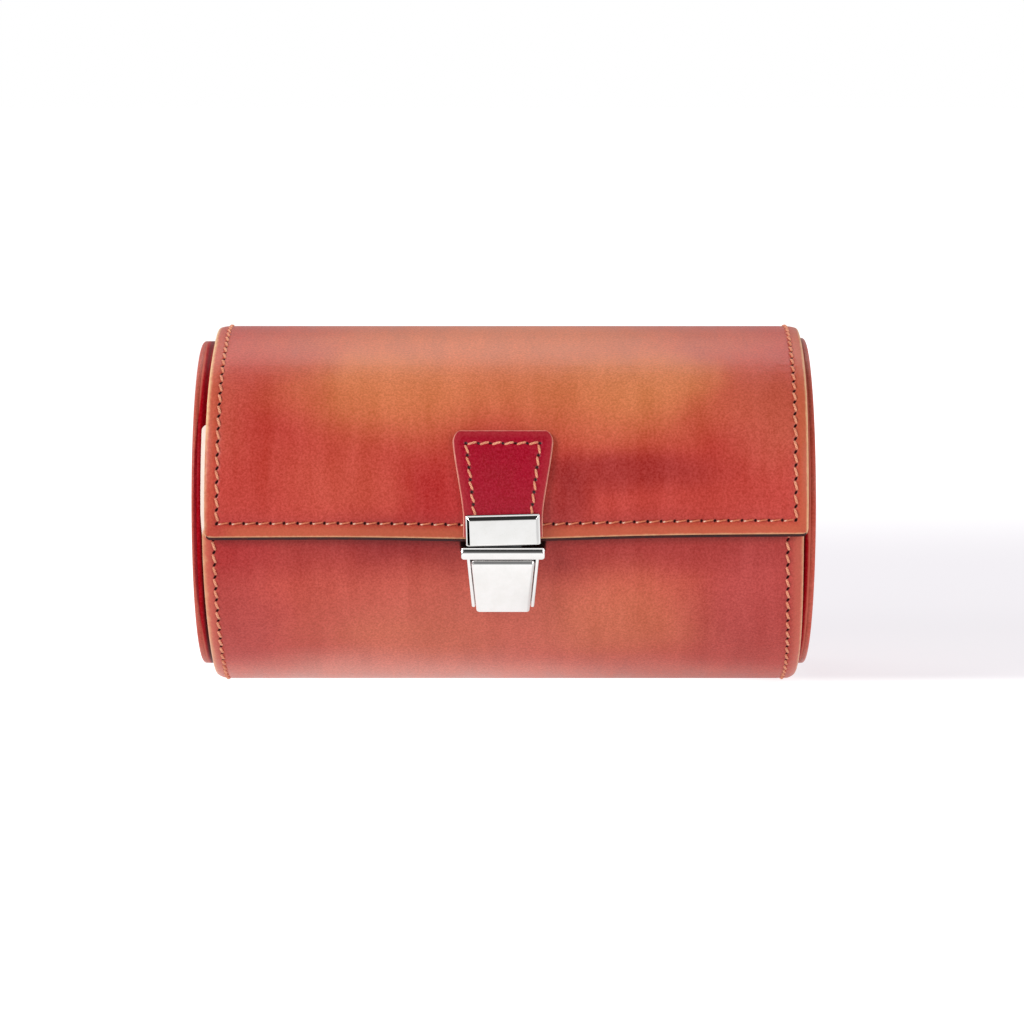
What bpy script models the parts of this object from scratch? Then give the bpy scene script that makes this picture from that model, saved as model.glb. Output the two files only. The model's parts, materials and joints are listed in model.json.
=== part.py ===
"""Round leather brush case: a stiff barrel, a wrap-over flap and a press-button tuck lock.

Metres, +Z up. The barrel lies along X, its front faces -Y, and its flat foot lies on z = 0.
Angles round the barrel are degrees measured upwards from the front, over the top to the back.
"""
import math

import bmesh
import bpy

MM = 0.001

# Clearance between pieces that touch on the real case
SEAT_GAP = 0.3 * MM

# Barrel wall, from the outside in
CASE_RADIUS = 50.0 * MM
WRAP_LENGTH = 163.4 * MM
LEATHER_THICKNESS = 1.4 * MM
CORE_THICKNESS = 1.3 * MM
LINING_THICKNESS = 0.7 * MM
EDGE_INSET = 1.2 * MM
EDGE_SOFTNESS = 0.4 * MM
FOOT_WIDTH = 14.0 * MM

# Places round the barrel
LIP_ANGLE = 31.0
HINGE_ANGLE = 130.0
FLAP_EDGE_ANGLE = -2.7
FLAP_EASE_SPAN = 35.0
LID_GAP_ANGLE = 4.5
LID_RAMP_ANGLE = 4.5
LID_CORE_MARGIN = 1.5
HINGE_GAP = 0.4 * MM
ARC_STEP = 5.0

# Round ends
END_PROUD = 3.1 * MM
END_COVER_THICKNESS = 1.9 * MM
END_RIM_ROUND = 0.85 * MM
COLLAR_DEPTH = 7.0 * MM
COLLAR_THICKNESS = 1.5 * MM
END_SIDES = 60

# Tab that carries the hasp
TAB_THICKNESS = 1.3 * MM
TAB_TOP_ANGLE = 27.9
TAB_TOP_WIDTH = 27.2 * MM
TAB_FOOT_WIDTH = 21.7 * MM
TAB_STRAIGHT = 6.5 * MM
TAB_CORNER = 2.6 * MM

# Hasp: the half of the lock on the flap
HASP_ANGLE = -0.8
HASP_WIDTH = 20.2 * MM
HASP_HEIGHT = 8.3 * MM
HASP_RISE = 2.0 * MM
HASP_BEVEL = 0.7 * MM
HASP_HOOD_DEPTH = 2.2 * MM
TONGUE_WIDTH = 10.0 * MM
TONGUE_THICKNESS = 0.8 * MM
TONGUE_DEPTH = 5.8 * MM
TONGUE_HOLD = 6.2 * MM
STUD_RADIUS = 0.8 * MM
STUD_SPACING = 15.2 * MM
STUD_RAISE = 1.7 * MM
STUD_BITE = 1.1 * MM
HASP_PLATE_THICKNESS = 0.5 * MM
HASP_PLATE_HEIGHT = 3.6 * MM
HASP_PLATE_MARGIN = 1.8 * MM

# Press lock: the half on the barrel
LOCK_ANGLE = -17.2
LOCK_HEIGHT = 15.2 * MM
LOCK_TOP_WIDTH = 19.8 * MM
LOCK_FOOT_WIDTH = 17.0 * MM
RAIL_WIDTH = 1.1 * MM
LIP_WIDTH = 0.6 * MM
LIP_RISE = 0.2 * MM
FOOT_WALL = 1.0 * MM
FLANGE_WIDTH = 22.6 * MM
FLANGE_HEIGHT = 1.9 * MM
FLANGE_WALL = 0.85 * MM
LOCK_BEVEL = 0.25 * MM
SLOT_CLEARANCE = 0.4 * MM
BASE_THICKNESS = 0.5 * MM

# Press button
BUTTON_TOP_GAP = 1.3 * MM
BUTTON_HEIGHT = 14.8 * MM
BUTTON_CORNER = 0.8 * MM
BUTTON_BEVEL = 0.4 * MM
BUTTON_PROUD = 1.7 * MM
BUTTON_SETBACK = 0.3 * MM
BUTTON_CLEARANCE = 0.3 * MM
TONGUE_CLEARANCE = 0.35 * MM
PRESS_ANGLE = 5.0
PIVOT_INSET = 1.6 * MM
PIN_RADIUS = 0.55 * MM
PIN_CLEARANCE = 0.1 * MM
PIN_BITE = 0.8 * MM
EAR_HALF = 0.95 * MM
EAR_THICKNESS = 1.2 * MM
EAR_CLEARANCE = 0.8 * MM
POST_SIZE = 2.4 * MM
POST_DROP = 5.7 * MM

# Catch spring
LEAF_WIDTH = 5.0 * MM
LEAF_THICKNESS = 0.25 * MM
LEAF_FOOT_INSET = 0.8 * MM
TONGUE_TIP = 1.1 * MM
NOSE_PLAY = 0.4 * MM
NOSE_LENGTH = 1.3 * MM
NOSE_ENTRY = 0.55 * MM
RIVET_RADIUS = 0.6 * MM
RIVET_HEAD_RADIUS = 1.2 * MM
RIVET_HEAD_HEIGHT = 0.5 * MM
RIVET_INSET = 1.3 * MM

# Lock fixing inside the barrel
BACK_PLATE_WIDTH = 16.0 * MM
BACK_PLATE_HEIGHT = 9.0 * MM
BACK_PLATE_THICKNESS = 0.8 * MM
BACK_PLATE_CORNER = 1.5 * MM
SCREW_RADIUS = 1.0 * MM
SCREW_HEAD_RADIUS = 1.9 * MM
SCREW_HEAD_HEIGHT = 1.0 * MM
SCREW_SPACING = 10.0 * MM
SCREW_DROP = 2.0 * MM

# Band of brush loops
BAND_WIDTH = 16.0 * MM
BAND_THICKNESS = 0.9 * MM
BAND_LOOPS = 4
BAND_ANGLE = 270.0
LOOP_HEIGHT = 9.0 * MM
LOOP_SPAN = 10.0 * MM
LOOP_SEAM = 2.4 * MM
LOOP_STEPS = 10

# Worked out from the sizes above
HALF_LENGTH = WRAP_LENGTH / 2
FOOT_ANGLE = math.degrees(math.asin(FOOT_WIDTH / 2 / CASE_RADIUS))
AXIS_HEIGHT = CASE_RADIUS * math.cos(math.radians(FOOT_ANGLE))
WRAP_INNER = CASE_RADIUS - LEATHER_THICKNESS
CORE_OUTER = WRAP_INNER - SEAT_GAP
CORE_INNER = CORE_OUTER - CORE_THICKNESS
LINING_OUTER = CORE_INNER - SEAT_GAP
LINING_INNER = LINING_OUTER - LINING_THICKNESS
PLUG_RADIUS = LINING_INNER - SEAT_GAP
BOARD_RADIUS = PLUG_RADIUS - COLLAR_THICKNESS - SEAT_GAP
FLAP_LIFT = 2 * SEAT_GAP + LINING_THICKNESS + LEATHER_THICKNESS
FLAP_OUTER = CASE_RADIUS + FLAP_LIFT
LID_EDGE_ANGLE = LIP_ANGLE + LID_GAP_ANGLE
LID_RAMP_START = LID_EDGE_ANGLE + LID_RAMP_ANGLE
LID_CORE_ANGLE = LID_RAMP_START + LID_CORE_MARGIN
TAB_INNER = FLAP_OUTER + SEAT_GAP
TAB_OUTER = TAB_INNER + TAB_THICKNESS
LOCK_TOP = LOCK_HEIGHT / 2
LOCK_FOOT = -LOCK_HEIGHT / 2
FLANGE_TOP = LOCK_TOP + FLANGE_HEIGHT
BASE_BACK = LIP_RISE + SEAT_GAP
BASE_FRONT = BASE_BACK + BASE_THICKNESS
LEAF_BACK = BASE_FRONT + SEAT_GAP
LEAF_FRONT = LEAF_BACK + LEAF_THICKNESS
TONGUE_LEVEL = LEAF_FRONT + SEAT_GAP + TONGUE_THICKNESS / 2
TONGUE_END = FLANGE_TOP - TONGUE_DEPTH
BUTTON_TOP = LOCK_TOP - BUTTON_TOP_GAP
BUTTON_FOOT = BUTTON_TOP - BUTTON_HEIGHT
PIVOT_UP = BUTTON_TOP - PIVOT_INSET
PIVOT_OUT = TONGUE_LEVEL
PIN_HOLE = PIN_RADIUS + PIN_CLEARANCE
EAR_INSIDE = TONGUE_WIDTH / 2 + EAR_CLEARANCE
WINDOW_LOW = TONGUE_END + TONGUE_TIP
NOSE_LOW = WINDOW_LOW + NOSE_PLAY
NOSE_HIGH = NOSE_LOW + NOSE_LENGTH
WINDOW_HIGH = NOSE_HIGH + NOSE_PLAY
LEAF_FOOT = LOCK_FOOT + FOOT_WALL + SEAT_GAP + LEAF_FOOT_INSET
SCREW_HOLE = SCREW_RADIUS + SEAT_GAP
RIVET_HOLE = RIVET_RADIUS + SEAT_GAP
STUD_HOLE = STUD_RADIUS + SEAT_GAP

ALONG_X = (math.pi / 2, 0, math.pi / 2)
FINE_SIDES = 16
BARREL_SIDES = 120
REACH = 0.2 * CASE_RADIUS


def clear_scene():
    """Start from an empty scene with one collection for parts and one for cutters."""
    for item in list(bpy.data.objects):
        bpy.data.objects.remove(item, do_unlink=True)
    groups = []
    for name in ("brush_roll_case", "cutters"):
        group = bpy.data.collections.new(name)
        bpy.context.scene.collection.children.link(group)
        groups.append(group)
    return groups


PARTS, CUTTERS = clear_scene()


def finish(name, colour, roughness, metallic=0.0):
    """Plain surface colour for one kind of material."""
    material = bpy.data.materials.new(name)
    material.use_nodes = True
    shader = material.node_tree.nodes["Principled BSDF"]
    shader.inputs["Base Color"].default_value = (*colour, 1.0)
    shader.inputs["Roughness"].default_value = roughness
    shader.inputs["Metallic"].default_value = metallic
    return material


AMBER_LEATHER = finish("amber_leather", (0.50, 0.13, 0.07), 0.45)
CRIMSON_LEATHER = finish("crimson_leather", (0.36, 0.012, 0.025), 0.45)
CORAL_LEATHER = finish("coral_leather", (0.52, 0.15, 0.10), 0.45)
SUEDE = finish("suede_lining", (0.30, 0.11, 0.07), 0.9)
BOARD = finish("grey_board", (0.30, 0.28, 0.25), 0.9)
ELASTIC = finish("dark_band", (0.09, 0.03, 0.02), 0.7)
CHROME = finish("chrome", (0.80, 0.80, 0.80), 0.08, 1.0)
STEEL = finish("steel", (0.55, 0.56, 0.58), 0.3, 1.0)


def section(radius, angle):
    """Point (y, z) of the barrel's cross-section at a radius and an angle."""
    turn = math.radians(angle)
    return (-radius * math.cos(turn), AXIS_HEIGHT + radius * math.sin(turn))


def from_frame(radius, angle, up, out):
    """Cross-section point that lies up along the tangent and out along the normal of a place."""
    turn = math.radians(angle)
    y, z = section(radius, angle)
    return (
        y + up * math.sin(turn) - out * math.cos(turn),
        z + up * math.cos(turn) + out * math.sin(turn),
    )


def lock_point(up, out):
    """Cross-section point in the press lock's own directions."""
    return from_frame(CASE_RADIUS, LOCK_ANGLE, up, out)


def hasp_point(up, out):
    """Cross-section point in the hasp's own directions."""
    return from_frame(TAB_OUTER, HASP_ANGLE, up, out)


def degrees_along(length, radius=CASE_RADIUS):
    """Angle that an arc length covers."""
    return math.degrees(length / radius)


def arc_angles(start, end):
    """Even angles from start to end, no further apart than the arc step."""
    count = max(1, math.ceil(abs(end - start) / ARC_STEP - 1e-6))
    return [start + (end - start) * i / count for i in range(count + 1)]


def rounded(corners, radius, steps=3):
    """Outline with each corner replaced by an arc of the given radius."""
    outline = []
    count = len(corners)
    for i, (cx, cy) in enumerate(corners):
        ax, ay = corners[i - 1]
        bx, by = corners[(i + 1) % count]
        to_a = math.atan2(ay - cy, ax - cx)
        to_b = math.atan2(by - cy, bx - cx)
        spread = (to_b - to_a + math.pi) % (2 * math.pi) - math.pi
        half = spread / 2
        reach = radius / abs(math.sin(half))
        middle = to_a + half
        centre = (cx + reach * math.cos(middle), cy + reach * math.sin(middle))
        sweep = math.pi - abs(spread)
        facing = middle + math.pi
        side = 1 if spread > 0 else -1
        for k in range(steps + 1):
            a = facing + side * sweep * (0.5 - k / steps)
            outline.append((centre[0] + radius * math.cos(a), centre[1] + radius * math.sin(a)))
    return outline


def add_object(name, mesh, material):
    """Put a mesh into the scene as a part, or as a cutter when it has no material."""
    item = bpy.data.objects.new(name, mesh)
    if material:
        mesh.materials.append(material)
        PARTS.objects.link(item)
    else:
        CUTTERS.objects.link(item)
        item.hide_render = True
        item.display_type = "WIRE"
    return item


def prism(name, outlines, low, high, material=None):
    """Flat outlines, the later ones being holes, raised from low to high along local Z."""
    curve = bpy.data.curves.new(name, "CURVE")
    curve.dimensions = "2D"
    curve.fill_mode = "BOTH"
    curve.extrude = (high - low) / 2
    for outline in outlines:
        spline = curve.splines.new("POLY")
        spline.points.add(len(outline) - 1)
        for point, (a, b) in zip(spline.points, outline):
            point.co = (a, b, 0, 1)
        spline.use_cyclic_u = True
    holder = bpy.data.objects.new(name, curve)
    CUTTERS.objects.link(holder)
    graph = bpy.context.evaluated_depsgraph_get()
    mesh = bpy.data.meshes.new_from_object(holder.evaluated_get(graph))
    bpy.data.objects.remove(holder, do_unlink=True)
    body = bmesh.new()
    body.from_mesh(mesh)
    bmesh.ops.remove_doubles(body, verts=body.verts, dist=1e-7)
    bmesh.ops.translate(body, verts=body.verts, vec=(0, 0, (low + high) / 2))
    bmesh.ops.dissolve_limit(body, angle_limit=0.001, verts=body.verts, edges=body.edges)
    bmesh.ops.recalc_face_normals(body, faces=body.faces)
    body.to_mesh(mesh)
    body.free()
    mesh.name = name
    return add_object(name, mesh, material)


def drum(name, radius, low, high, sides, material=None):
    """Round bar from low to high along local Z."""
    body = bmesh.new()
    bmesh.ops.create_cone(
        body, cap_ends=True, segments=sides, radius1=radius, radius2=radius, depth=high - low
    )
    bmesh.ops.translate(body, verts=body.verts, vec=(0, 0, (low + high) / 2))
    mesh = bpy.data.meshes.new(name)
    body.to_mesh(mesh)
    body.free()
    mesh.shade_smooth()
    mesh.set_sharp_from_angle(angle=math.radians(40))
    return add_object(name, mesh, material)


def block(name, x_span, y_span, z_span, material=None):
    """Box between two limits on each axis."""
    outline = [
        (x_span[0], y_span[0]),
        (x_span[1], y_span[0]),
        (x_span[1], y_span[1]),
        (x_span[0], y_span[1]),
    ]
    return prism(name, [outline], z_span[0], z_span[1], material)


def turned(name, profile, material):
    """Profile of (radius, height) points, listed from the top down, turned round local Z."""
    mesh = bpy.data.meshes.new(name)
    body = bmesh.new()
    verts = [body.verts.new((radius, 0, height)) for radius, height in profile]
    for first, second in zip(verts, verts[1:]):
        body.edges.new((first, second))
    body.to_mesh(mesh)
    body.free()
    item = add_object(name, mesh, material)
    screw = item.modifiers.new("turn", "SCREW")
    screw.steps = FINE_SIDES
    screw.render_steps = FINE_SIDES
    screw.use_merge_vertices = True
    screw.merge_threshold = 1e-6
    screw.use_smooth_shade = False
    return item


def bevel(item, width, segments=1):
    """Round every sharp edge of a piece."""
    modifier = item.modifiers.new("bevel", "BEVEL")
    modifier.width = width
    modifier.segments = segments
    modifier.limit_method = "ANGLE"
    modifier.angle_limit = math.radians(50)
    return item


def boolean(item, other, operation="DIFFERENCE"):
    """Cut a piece with another, or join or trim it."""
    modifier = item.modifiers.new(operation.lower(), "BOOLEAN")
    modifier.operation = operation
    modifier.object = other
    return item


def empty(name, y, z, turn=0.0, parent=None):
    """Guide at a cross-section point, turned about X, that pieces hang from."""
    guide = bpy.data.objects.new(name, None)
    CUTTERS.objects.link(guide)
    guide.location = (0, y, z)
    guide.rotation_euler = (turn, 0, 0)
    guide.hide_render = True
    if parent:
        hang(guide, parent)
    bpy.context.view_layer.update()
    return guide


def hang(item, parent):
    """Parent a piece without moving it."""
    bpy.context.view_layer.update()
    place = item.matrix_world.copy()
    item.parent = parent
    item.matrix_parent_inverse = parent.matrix_world.inverted()
    item.matrix_basis = place
    return item


def seat(item, guide, rotation=(0, 0, 0), x=0.0):
    """Place a piece that was drawn in a guide's own directions."""
    item.parent = guide
    item.location = (x, 0, 0)
    item.rotation_euler = rotation
    return item


def facing_guide(name, radius, angle, parent=None):
    """Guide on the barrel whose local Y runs up the wall and whose local Z points outwards."""
    y, z = section(radius, angle)
    return empty(name, y, z, math.pi / 2 - math.radians(angle), parent)


HINGE = section(CASE_RADIUS, HINGE_ANGLE)
FLAP_HINGE = empty("flap_hinge_axis", *HINGE)
LOCK_GUIDE = facing_guide("lock_guide", CASE_RADIUS, LOCK_ANGLE)
HASP_GUIDE = facing_guide("hasp_guide", TAB_OUTER, HASP_ANGLE, FLAP_HINGE)
BUTTON_AXIS = empty("button_axis", *lock_point(PIVOT_UP, PIVOT_OUT))


def along_barrel(name, outline, low, high, material=None):
    """Cross-section outline carried along the barrel from one X to another."""
    item = prism(name, [outline], low, high, material)
    item.rotation_euler = ALONG_X
    return item


def barrel_cutter(name, radius):
    """Full round bar on the barrel's axis."""
    item = drum(name, radius, -HALF_LENGTH, HALF_LENGTH, BARREL_SIDES)
    item.rotation_euler = (0, math.pi / 2, 0)
    item.location = (0, 0, AXIS_HEIGHT)
    return item


def wall_outline(outer, inner, start, flat_foot=False):
    """Cross-section of one layer of the barrel, from the hinge round below to the front lip."""
    end = LIP_ANGLE + 360
    inside = [section(inner, a) for a in reversed(arc_angles(start, end))]
    if not flat_foot:
        return [section(outer, a) for a in arc_angles(start, end)] + inside
    back = arc_angles(start, 270 - FOOT_ANGLE)
    front = arc_angles(270 + FOOT_ANGLE, end)
    return [section(outer, a) for a in back + front] + inside


def flap_outer(angle):
    """Radius of the flap's outer face: the barrel's own, rising to clear the front lip."""
    share = (LID_EDGE_ANGLE + FLAP_EASE_SPAN - angle) / FLAP_EASE_SPAN
    share = min(1.0, max(0.0, share))
    return CASE_RADIUS + FLAP_LIFT * share * share * (3 - 2 * share)


def flap_lining_outer(angle):
    """Radius of the flap lining's outer face: under the lid's board, then up under the leather."""
    share = (LID_RAMP_START - angle) / LID_RAMP_ANGLE
    share = min(1.0, max(0.0, share))
    raised = FLAP_OUTER - LEATHER_THICKNESS - SEAT_GAP
    return LINING_OUTER + (raised - LINING_OUTER) * share


def layer_outline(outer_at, thickness, angles):
    """Cross-section of a layer whose outer radius is a function of the angle."""
    outer = [section(outer_at(a), a) for a in angles]
    inner = [section(outer_at(a) - thickness, a) for a in reversed(angles)]
    return outer + inner


def lock_half(up):
    """Half width of the press lock at a height, narrowing towards its foot."""
    share = (up - LOCK_FOOT) / LOCK_HEIGHT
    return (LOCK_FOOT_WIDTH + (LOCK_TOP_WIDTH - LOCK_FOOT_WIDTH) * share) / 2


def lock_outline(low, high, inset):
    """Trapezium between two heights of the lock, drawn in from its sides."""
    return [
        (inset - lock_half(low), low),
        (lock_half(low) - inset, low),
        (lock_half(high) - inset, high),
        (inset - lock_half(high), high),
    ]


def tongue_line():
    """Lower end of the tongue and the direction in which the opening flap draws it out."""
    end = lock_point(TONGUE_END, TONGUE_LEVEL)
    arm = (end[0] - HINGE[0], end[1] - HINGE[1])
    size = math.hypot(*arm)
    return end, (arm[1] / size, -arm[0] / size)


def tongue_slope():
    """How fast the tongue moves outwards for each unit of height in the lock."""
    turn = math.radians(LOCK_ANGLE)
    _, (dy, dz) = tongue_line()
    up = dy * math.sin(turn) + dz * math.cos(turn)
    out = dz * math.sin(turn) - dy * math.cos(turn)
    return out / up


def tongue_out(up):
    """Level of the tongue's middle at a height in the lock."""
    return TONGUE_LEVEL + tongue_slope() * (up - TONGUE_END)


SLOT_LOW = tongue_out(LOCK_TOP) - TONGUE_THICKNESS / 2 - SLOT_CLEARANCE
SLOT_HIGH = tongue_out(FLANGE_TOP) + TONGUE_THICKNESS / 2 + SLOT_CLEARANCE
FLANGE_FRONT = SLOT_HIGH + FLANGE_WALL
BUTTON_FRONT = FLANGE_FRONT - BUTTON_SETBACK
BUTTON_BACK = tongue_out(BUTTON_TOP) + TONGUE_THICKNESS / 2 + TONGUE_CLEARANCE
BUTTON_TRAVEL = (PIVOT_UP - BUTTON_FOOT) * math.sin(math.radians(PRESS_ANGLE))
RAIL_FRONT = BUTTON_FRONT - BUTTON_PROUD
BUTTON_INSET = RAIL_WIDTH + BUTTON_CLEARANCE


def back_plate_out():
    """Level of the lock's inner plate: flat, with its edges seated on the curved lining."""
    bore = LINING_INNER - SEAT_GAP
    return math.sqrt(bore ** 2 - (BACK_PLATE_HEIGHT / 2) ** 2) - CASE_RADIUS


def screw_cutters():
    """Two holes for the lock's screws, through the wall and the plates."""
    cutters = []
    for side in (-1, 1):
        hole = drum(f"screw_hole_{side}", SCREW_HOLE, -REACH, REACH, FINE_SIDES)
        seat(hole, LOCK_GUIDE, x=side * SCREW_SPACING / 2)
        hole.location.y = -SCREW_DROP
        cutters.append(hole)
    return cutters


def stud_cutters():
    """Two holes for the hasp's studs, from inside the flap into the back of the cap."""
    cutters = []
    for side in (-1, 1):
        hole = drum(f"stud_hole_{side}", STUD_HOLE, -REACH, STUD_BITE + SEAT_GAP, FINE_SIDES)
        seat(hole, HASP_GUIDE, x=side * STUD_SPACING / 2)
        hole.location.y = STUD_RAISE
        cutters.append(hole)
    return cutters


def make_barrel(screw_holes):
    """Leather wrap, stiff board and lining of the barrel."""
    start = HINGE_ANGLE + degrees_along(HINGE_GAP / 2)
    short = HALF_LENGTH - EDGE_INSET
    wrap = along_barrel(
        "body_leather",
        wall_outline(CASE_RADIUS, WRAP_INNER, start, flat_foot=True),
        -HALF_LENGTH,
        HALF_LENGTH,
        AMBER_LEATHER,
    )
    bevel(wrap, EDGE_SOFTNESS)
    core = along_barrel(
        "body_core", wall_outline(CORE_OUTER, CORE_INNER, start), -short, short, BOARD
    )
    lining = along_barrel(
        "body_lining", wall_outline(LINING_OUTER, LINING_INNER, start), -short, short, SUEDE
    )
    for layer in (wrap, core, lining):
        for hole in screw_holes:
            boolean(layer, hole)


def make_end(name, side):
    """Round end: a plug of board in a leather collar, with a cover outside and a lining inside."""
    cover_outer = HALF_LENGTH + END_PROUD
    cover_inner = cover_outer - END_COVER_THICKNESS
    plug_outer = cover_inner - SEAT_GAP
    plug_inner = plug_outer - COLLAR_DEPTH
    board_inner = plug_inner + LINING_THICKNESS + SEAT_GAP
    lining_outer = plug_inner + LINING_THICKNESS

    def place(item):
        item.rotation_euler = (0, side * math.pi / 2, 0)
        item.location = (0, 0, AXIS_HEIGHT)
        return item

    cover = drum(f"{name}_end_cover", PLUG_RADIUS, cover_inner, cover_outer, END_SIDES, CORAL_LEATHER)
    bevel(place(cover), END_RIM_ROUND, 2)
    ring = []
    for radius in (PLUG_RADIUS, PLUG_RADIUS - COLLAR_THICKNESS):
        turns = [2 * math.pi * i / END_SIDES for i in range(END_SIDES)]
        ring.append([(radius * math.cos(a), radius * math.sin(a)) for a in turns])
    place(prism(f"{name}_end_collar", ring, plug_inner, plug_outer, CRIMSON_LEATHER))
    place(drum(f"{name}_end_board", BOARD_RADIUS, board_inner, plug_outer, END_SIDES, BOARD))
    place(drum(f"{name}_end_lining", BOARD_RADIUS, plug_inner, lining_outer, END_SIDES, SUEDE))


def make_flap(stud_holes):
    """Leather flap, the board that stiffens its lid and its lining, with a pocket for the hasp."""
    start = HINGE_ANGLE - degrees_along(HINGE_GAP / 2)
    leather = along_barrel(
        "flap_leather",
        layer_outline(flap_outer, LEATHER_THICKNESS, arc_angles(start, FLAP_EDGE_ANGLE)),
        -HALF_LENGTH,
        HALF_LENGTH,
        AMBER_LEATHER,
    )
    bevel(leather, EDGE_SOFTNESS)
    short = HALF_LENGTH - EDGE_INSET
    core = along_barrel(
        "flap_core",
        layer_outline(lambda a: CORE_OUTER, CORE_THICKNESS, arc_angles(start, LID_CORE_ANGLE)),
        -short,
        short,
        BOARD,
    )
    under_board = arc_angles(start, LID_RAMP_START)
    under_leather = arc_angles(LID_EDGE_ANGLE, FLAP_EDGE_ANGLE)
    lining = along_barrel(
        "flap_lining",
        layer_outline(flap_lining_outer, LINING_THICKNESS, under_board + under_leather),
        -short,
        short,
        SUEDE,
    )
    low, high, back, front, half = hasp_plate_limits()
    pocket = block(
        "hasp_plate_pocket",
        (-half - SEAT_GAP, half + SEAT_GAP),
        (low - SEAT_GAP, high + SEAT_GAP),
        (back - REACH / 2, front + SEAT_GAP),
    )
    seat(pocket, HASP_GUIDE)
    boolean(leather, pocket)
    for hole in stud_holes:
        boolean(leather, hole)
    for layer in (leather, core, lining):
        hang(layer, FLAP_HINGE)


def hasp_plate_limits():
    """Heights, levels and half width of the plate that lies between the flap's two layers."""
    low = STUD_RAISE - HASP_PLATE_HEIGHT / 2
    high = STUD_RAISE + HASP_PLATE_HEIGHT / 2
    drop = TAB_OUTER - math.sqrt(TAB_OUTER ** 2 - high ** 2)
    back = FLAP_OUTER - LEATHER_THICKNESS - TAB_OUTER - drop
    half = STUD_SPACING / 2 + HASP_PLATE_MARGIN
    return low, high, back, back + HASP_PLATE_THICKNESS, half


def make_tab(stud_holes):
    """Trapezium of leather on the flap's outer face, flush with its edge."""
    angles = arc_angles(TAB_TOP_ANGLE, FLAP_EDGE_ANGLE)
    outline = [section(TAB_OUTER, a) for a in angles]
    outline += [section(TAB_INNER, a) for a in reversed(angles)]
    tab = along_barrel(
        "lock_tab", outline, -TAB_TOP_WIDTH / 2, TAB_TOP_WIDTH / 2, CRIMSON_LEATHER
    )
    middle = (TAB_TOP_ANGLE + FLAP_EDGE_ANGLE) / 2
    guide = facing_guide("tab_guide", TAB_OUTER, middle, FLAP_HINGE)
    top = TAB_OUTER * math.sin(math.radians(TAB_TOP_ANGLE - middle))
    half_top = TAB_TOP_WIDTH / 2
    half_foot = TAB_FOOT_WIDTH / 2
    corners = [
        (-half_foot, -top - REACH),
        (half_foot, -top - REACH),
        (half_foot, TAB_STRAIGHT - top),
        (half_top, top - TAB_CORNER),
        (half_top - TAB_CORNER, top),
        (TAB_CORNER - half_top, top),
        (-half_top, top - TAB_CORNER),
        (-half_foot, TAB_STRAIGHT - top),
    ]
    trim = prism("tab_trim", [rounded(corners, TAB_CORNER / 2)], -REACH, REACH)
    seat(trim, guide)
    boolean(tab, trim, "INTERSECT")
    for hole in stud_holes:
        boolean(tab, hole)
    hang(tab, FLAP_HINGE)


def ribbon(path, thickness):
    """Outline of a bent strip that follows three points, with a mitred bend."""
    directions = []
    for (ay, az), (by, bz) in zip(path, path[1:]):
        size = math.hypot(by - ay, bz - az)
        directions.append(((by - ay) / size, (bz - az) / size))
    normals = [(-dz, dy) for dy, dz in directions]
    mitre = (normals[0][0] + normals[1][0], normals[0][1] + normals[1][1])
    scale = 2 / (mitre[0] ** 2 + mitre[1] ** 2)
    offsets = [normals[0], (mitre[0] * scale, mitre[1] * scale), normals[1]]
    half = thickness / 2
    one = [(y + oy * half, z + oz * half) for (y, z), (oy, oz) in zip(path, offsets)]
    two = [(y - oy * half, z - oz * half) for (y, z), (oy, oz) in zip(path, offsets)]
    return one + two[::-1]


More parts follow.
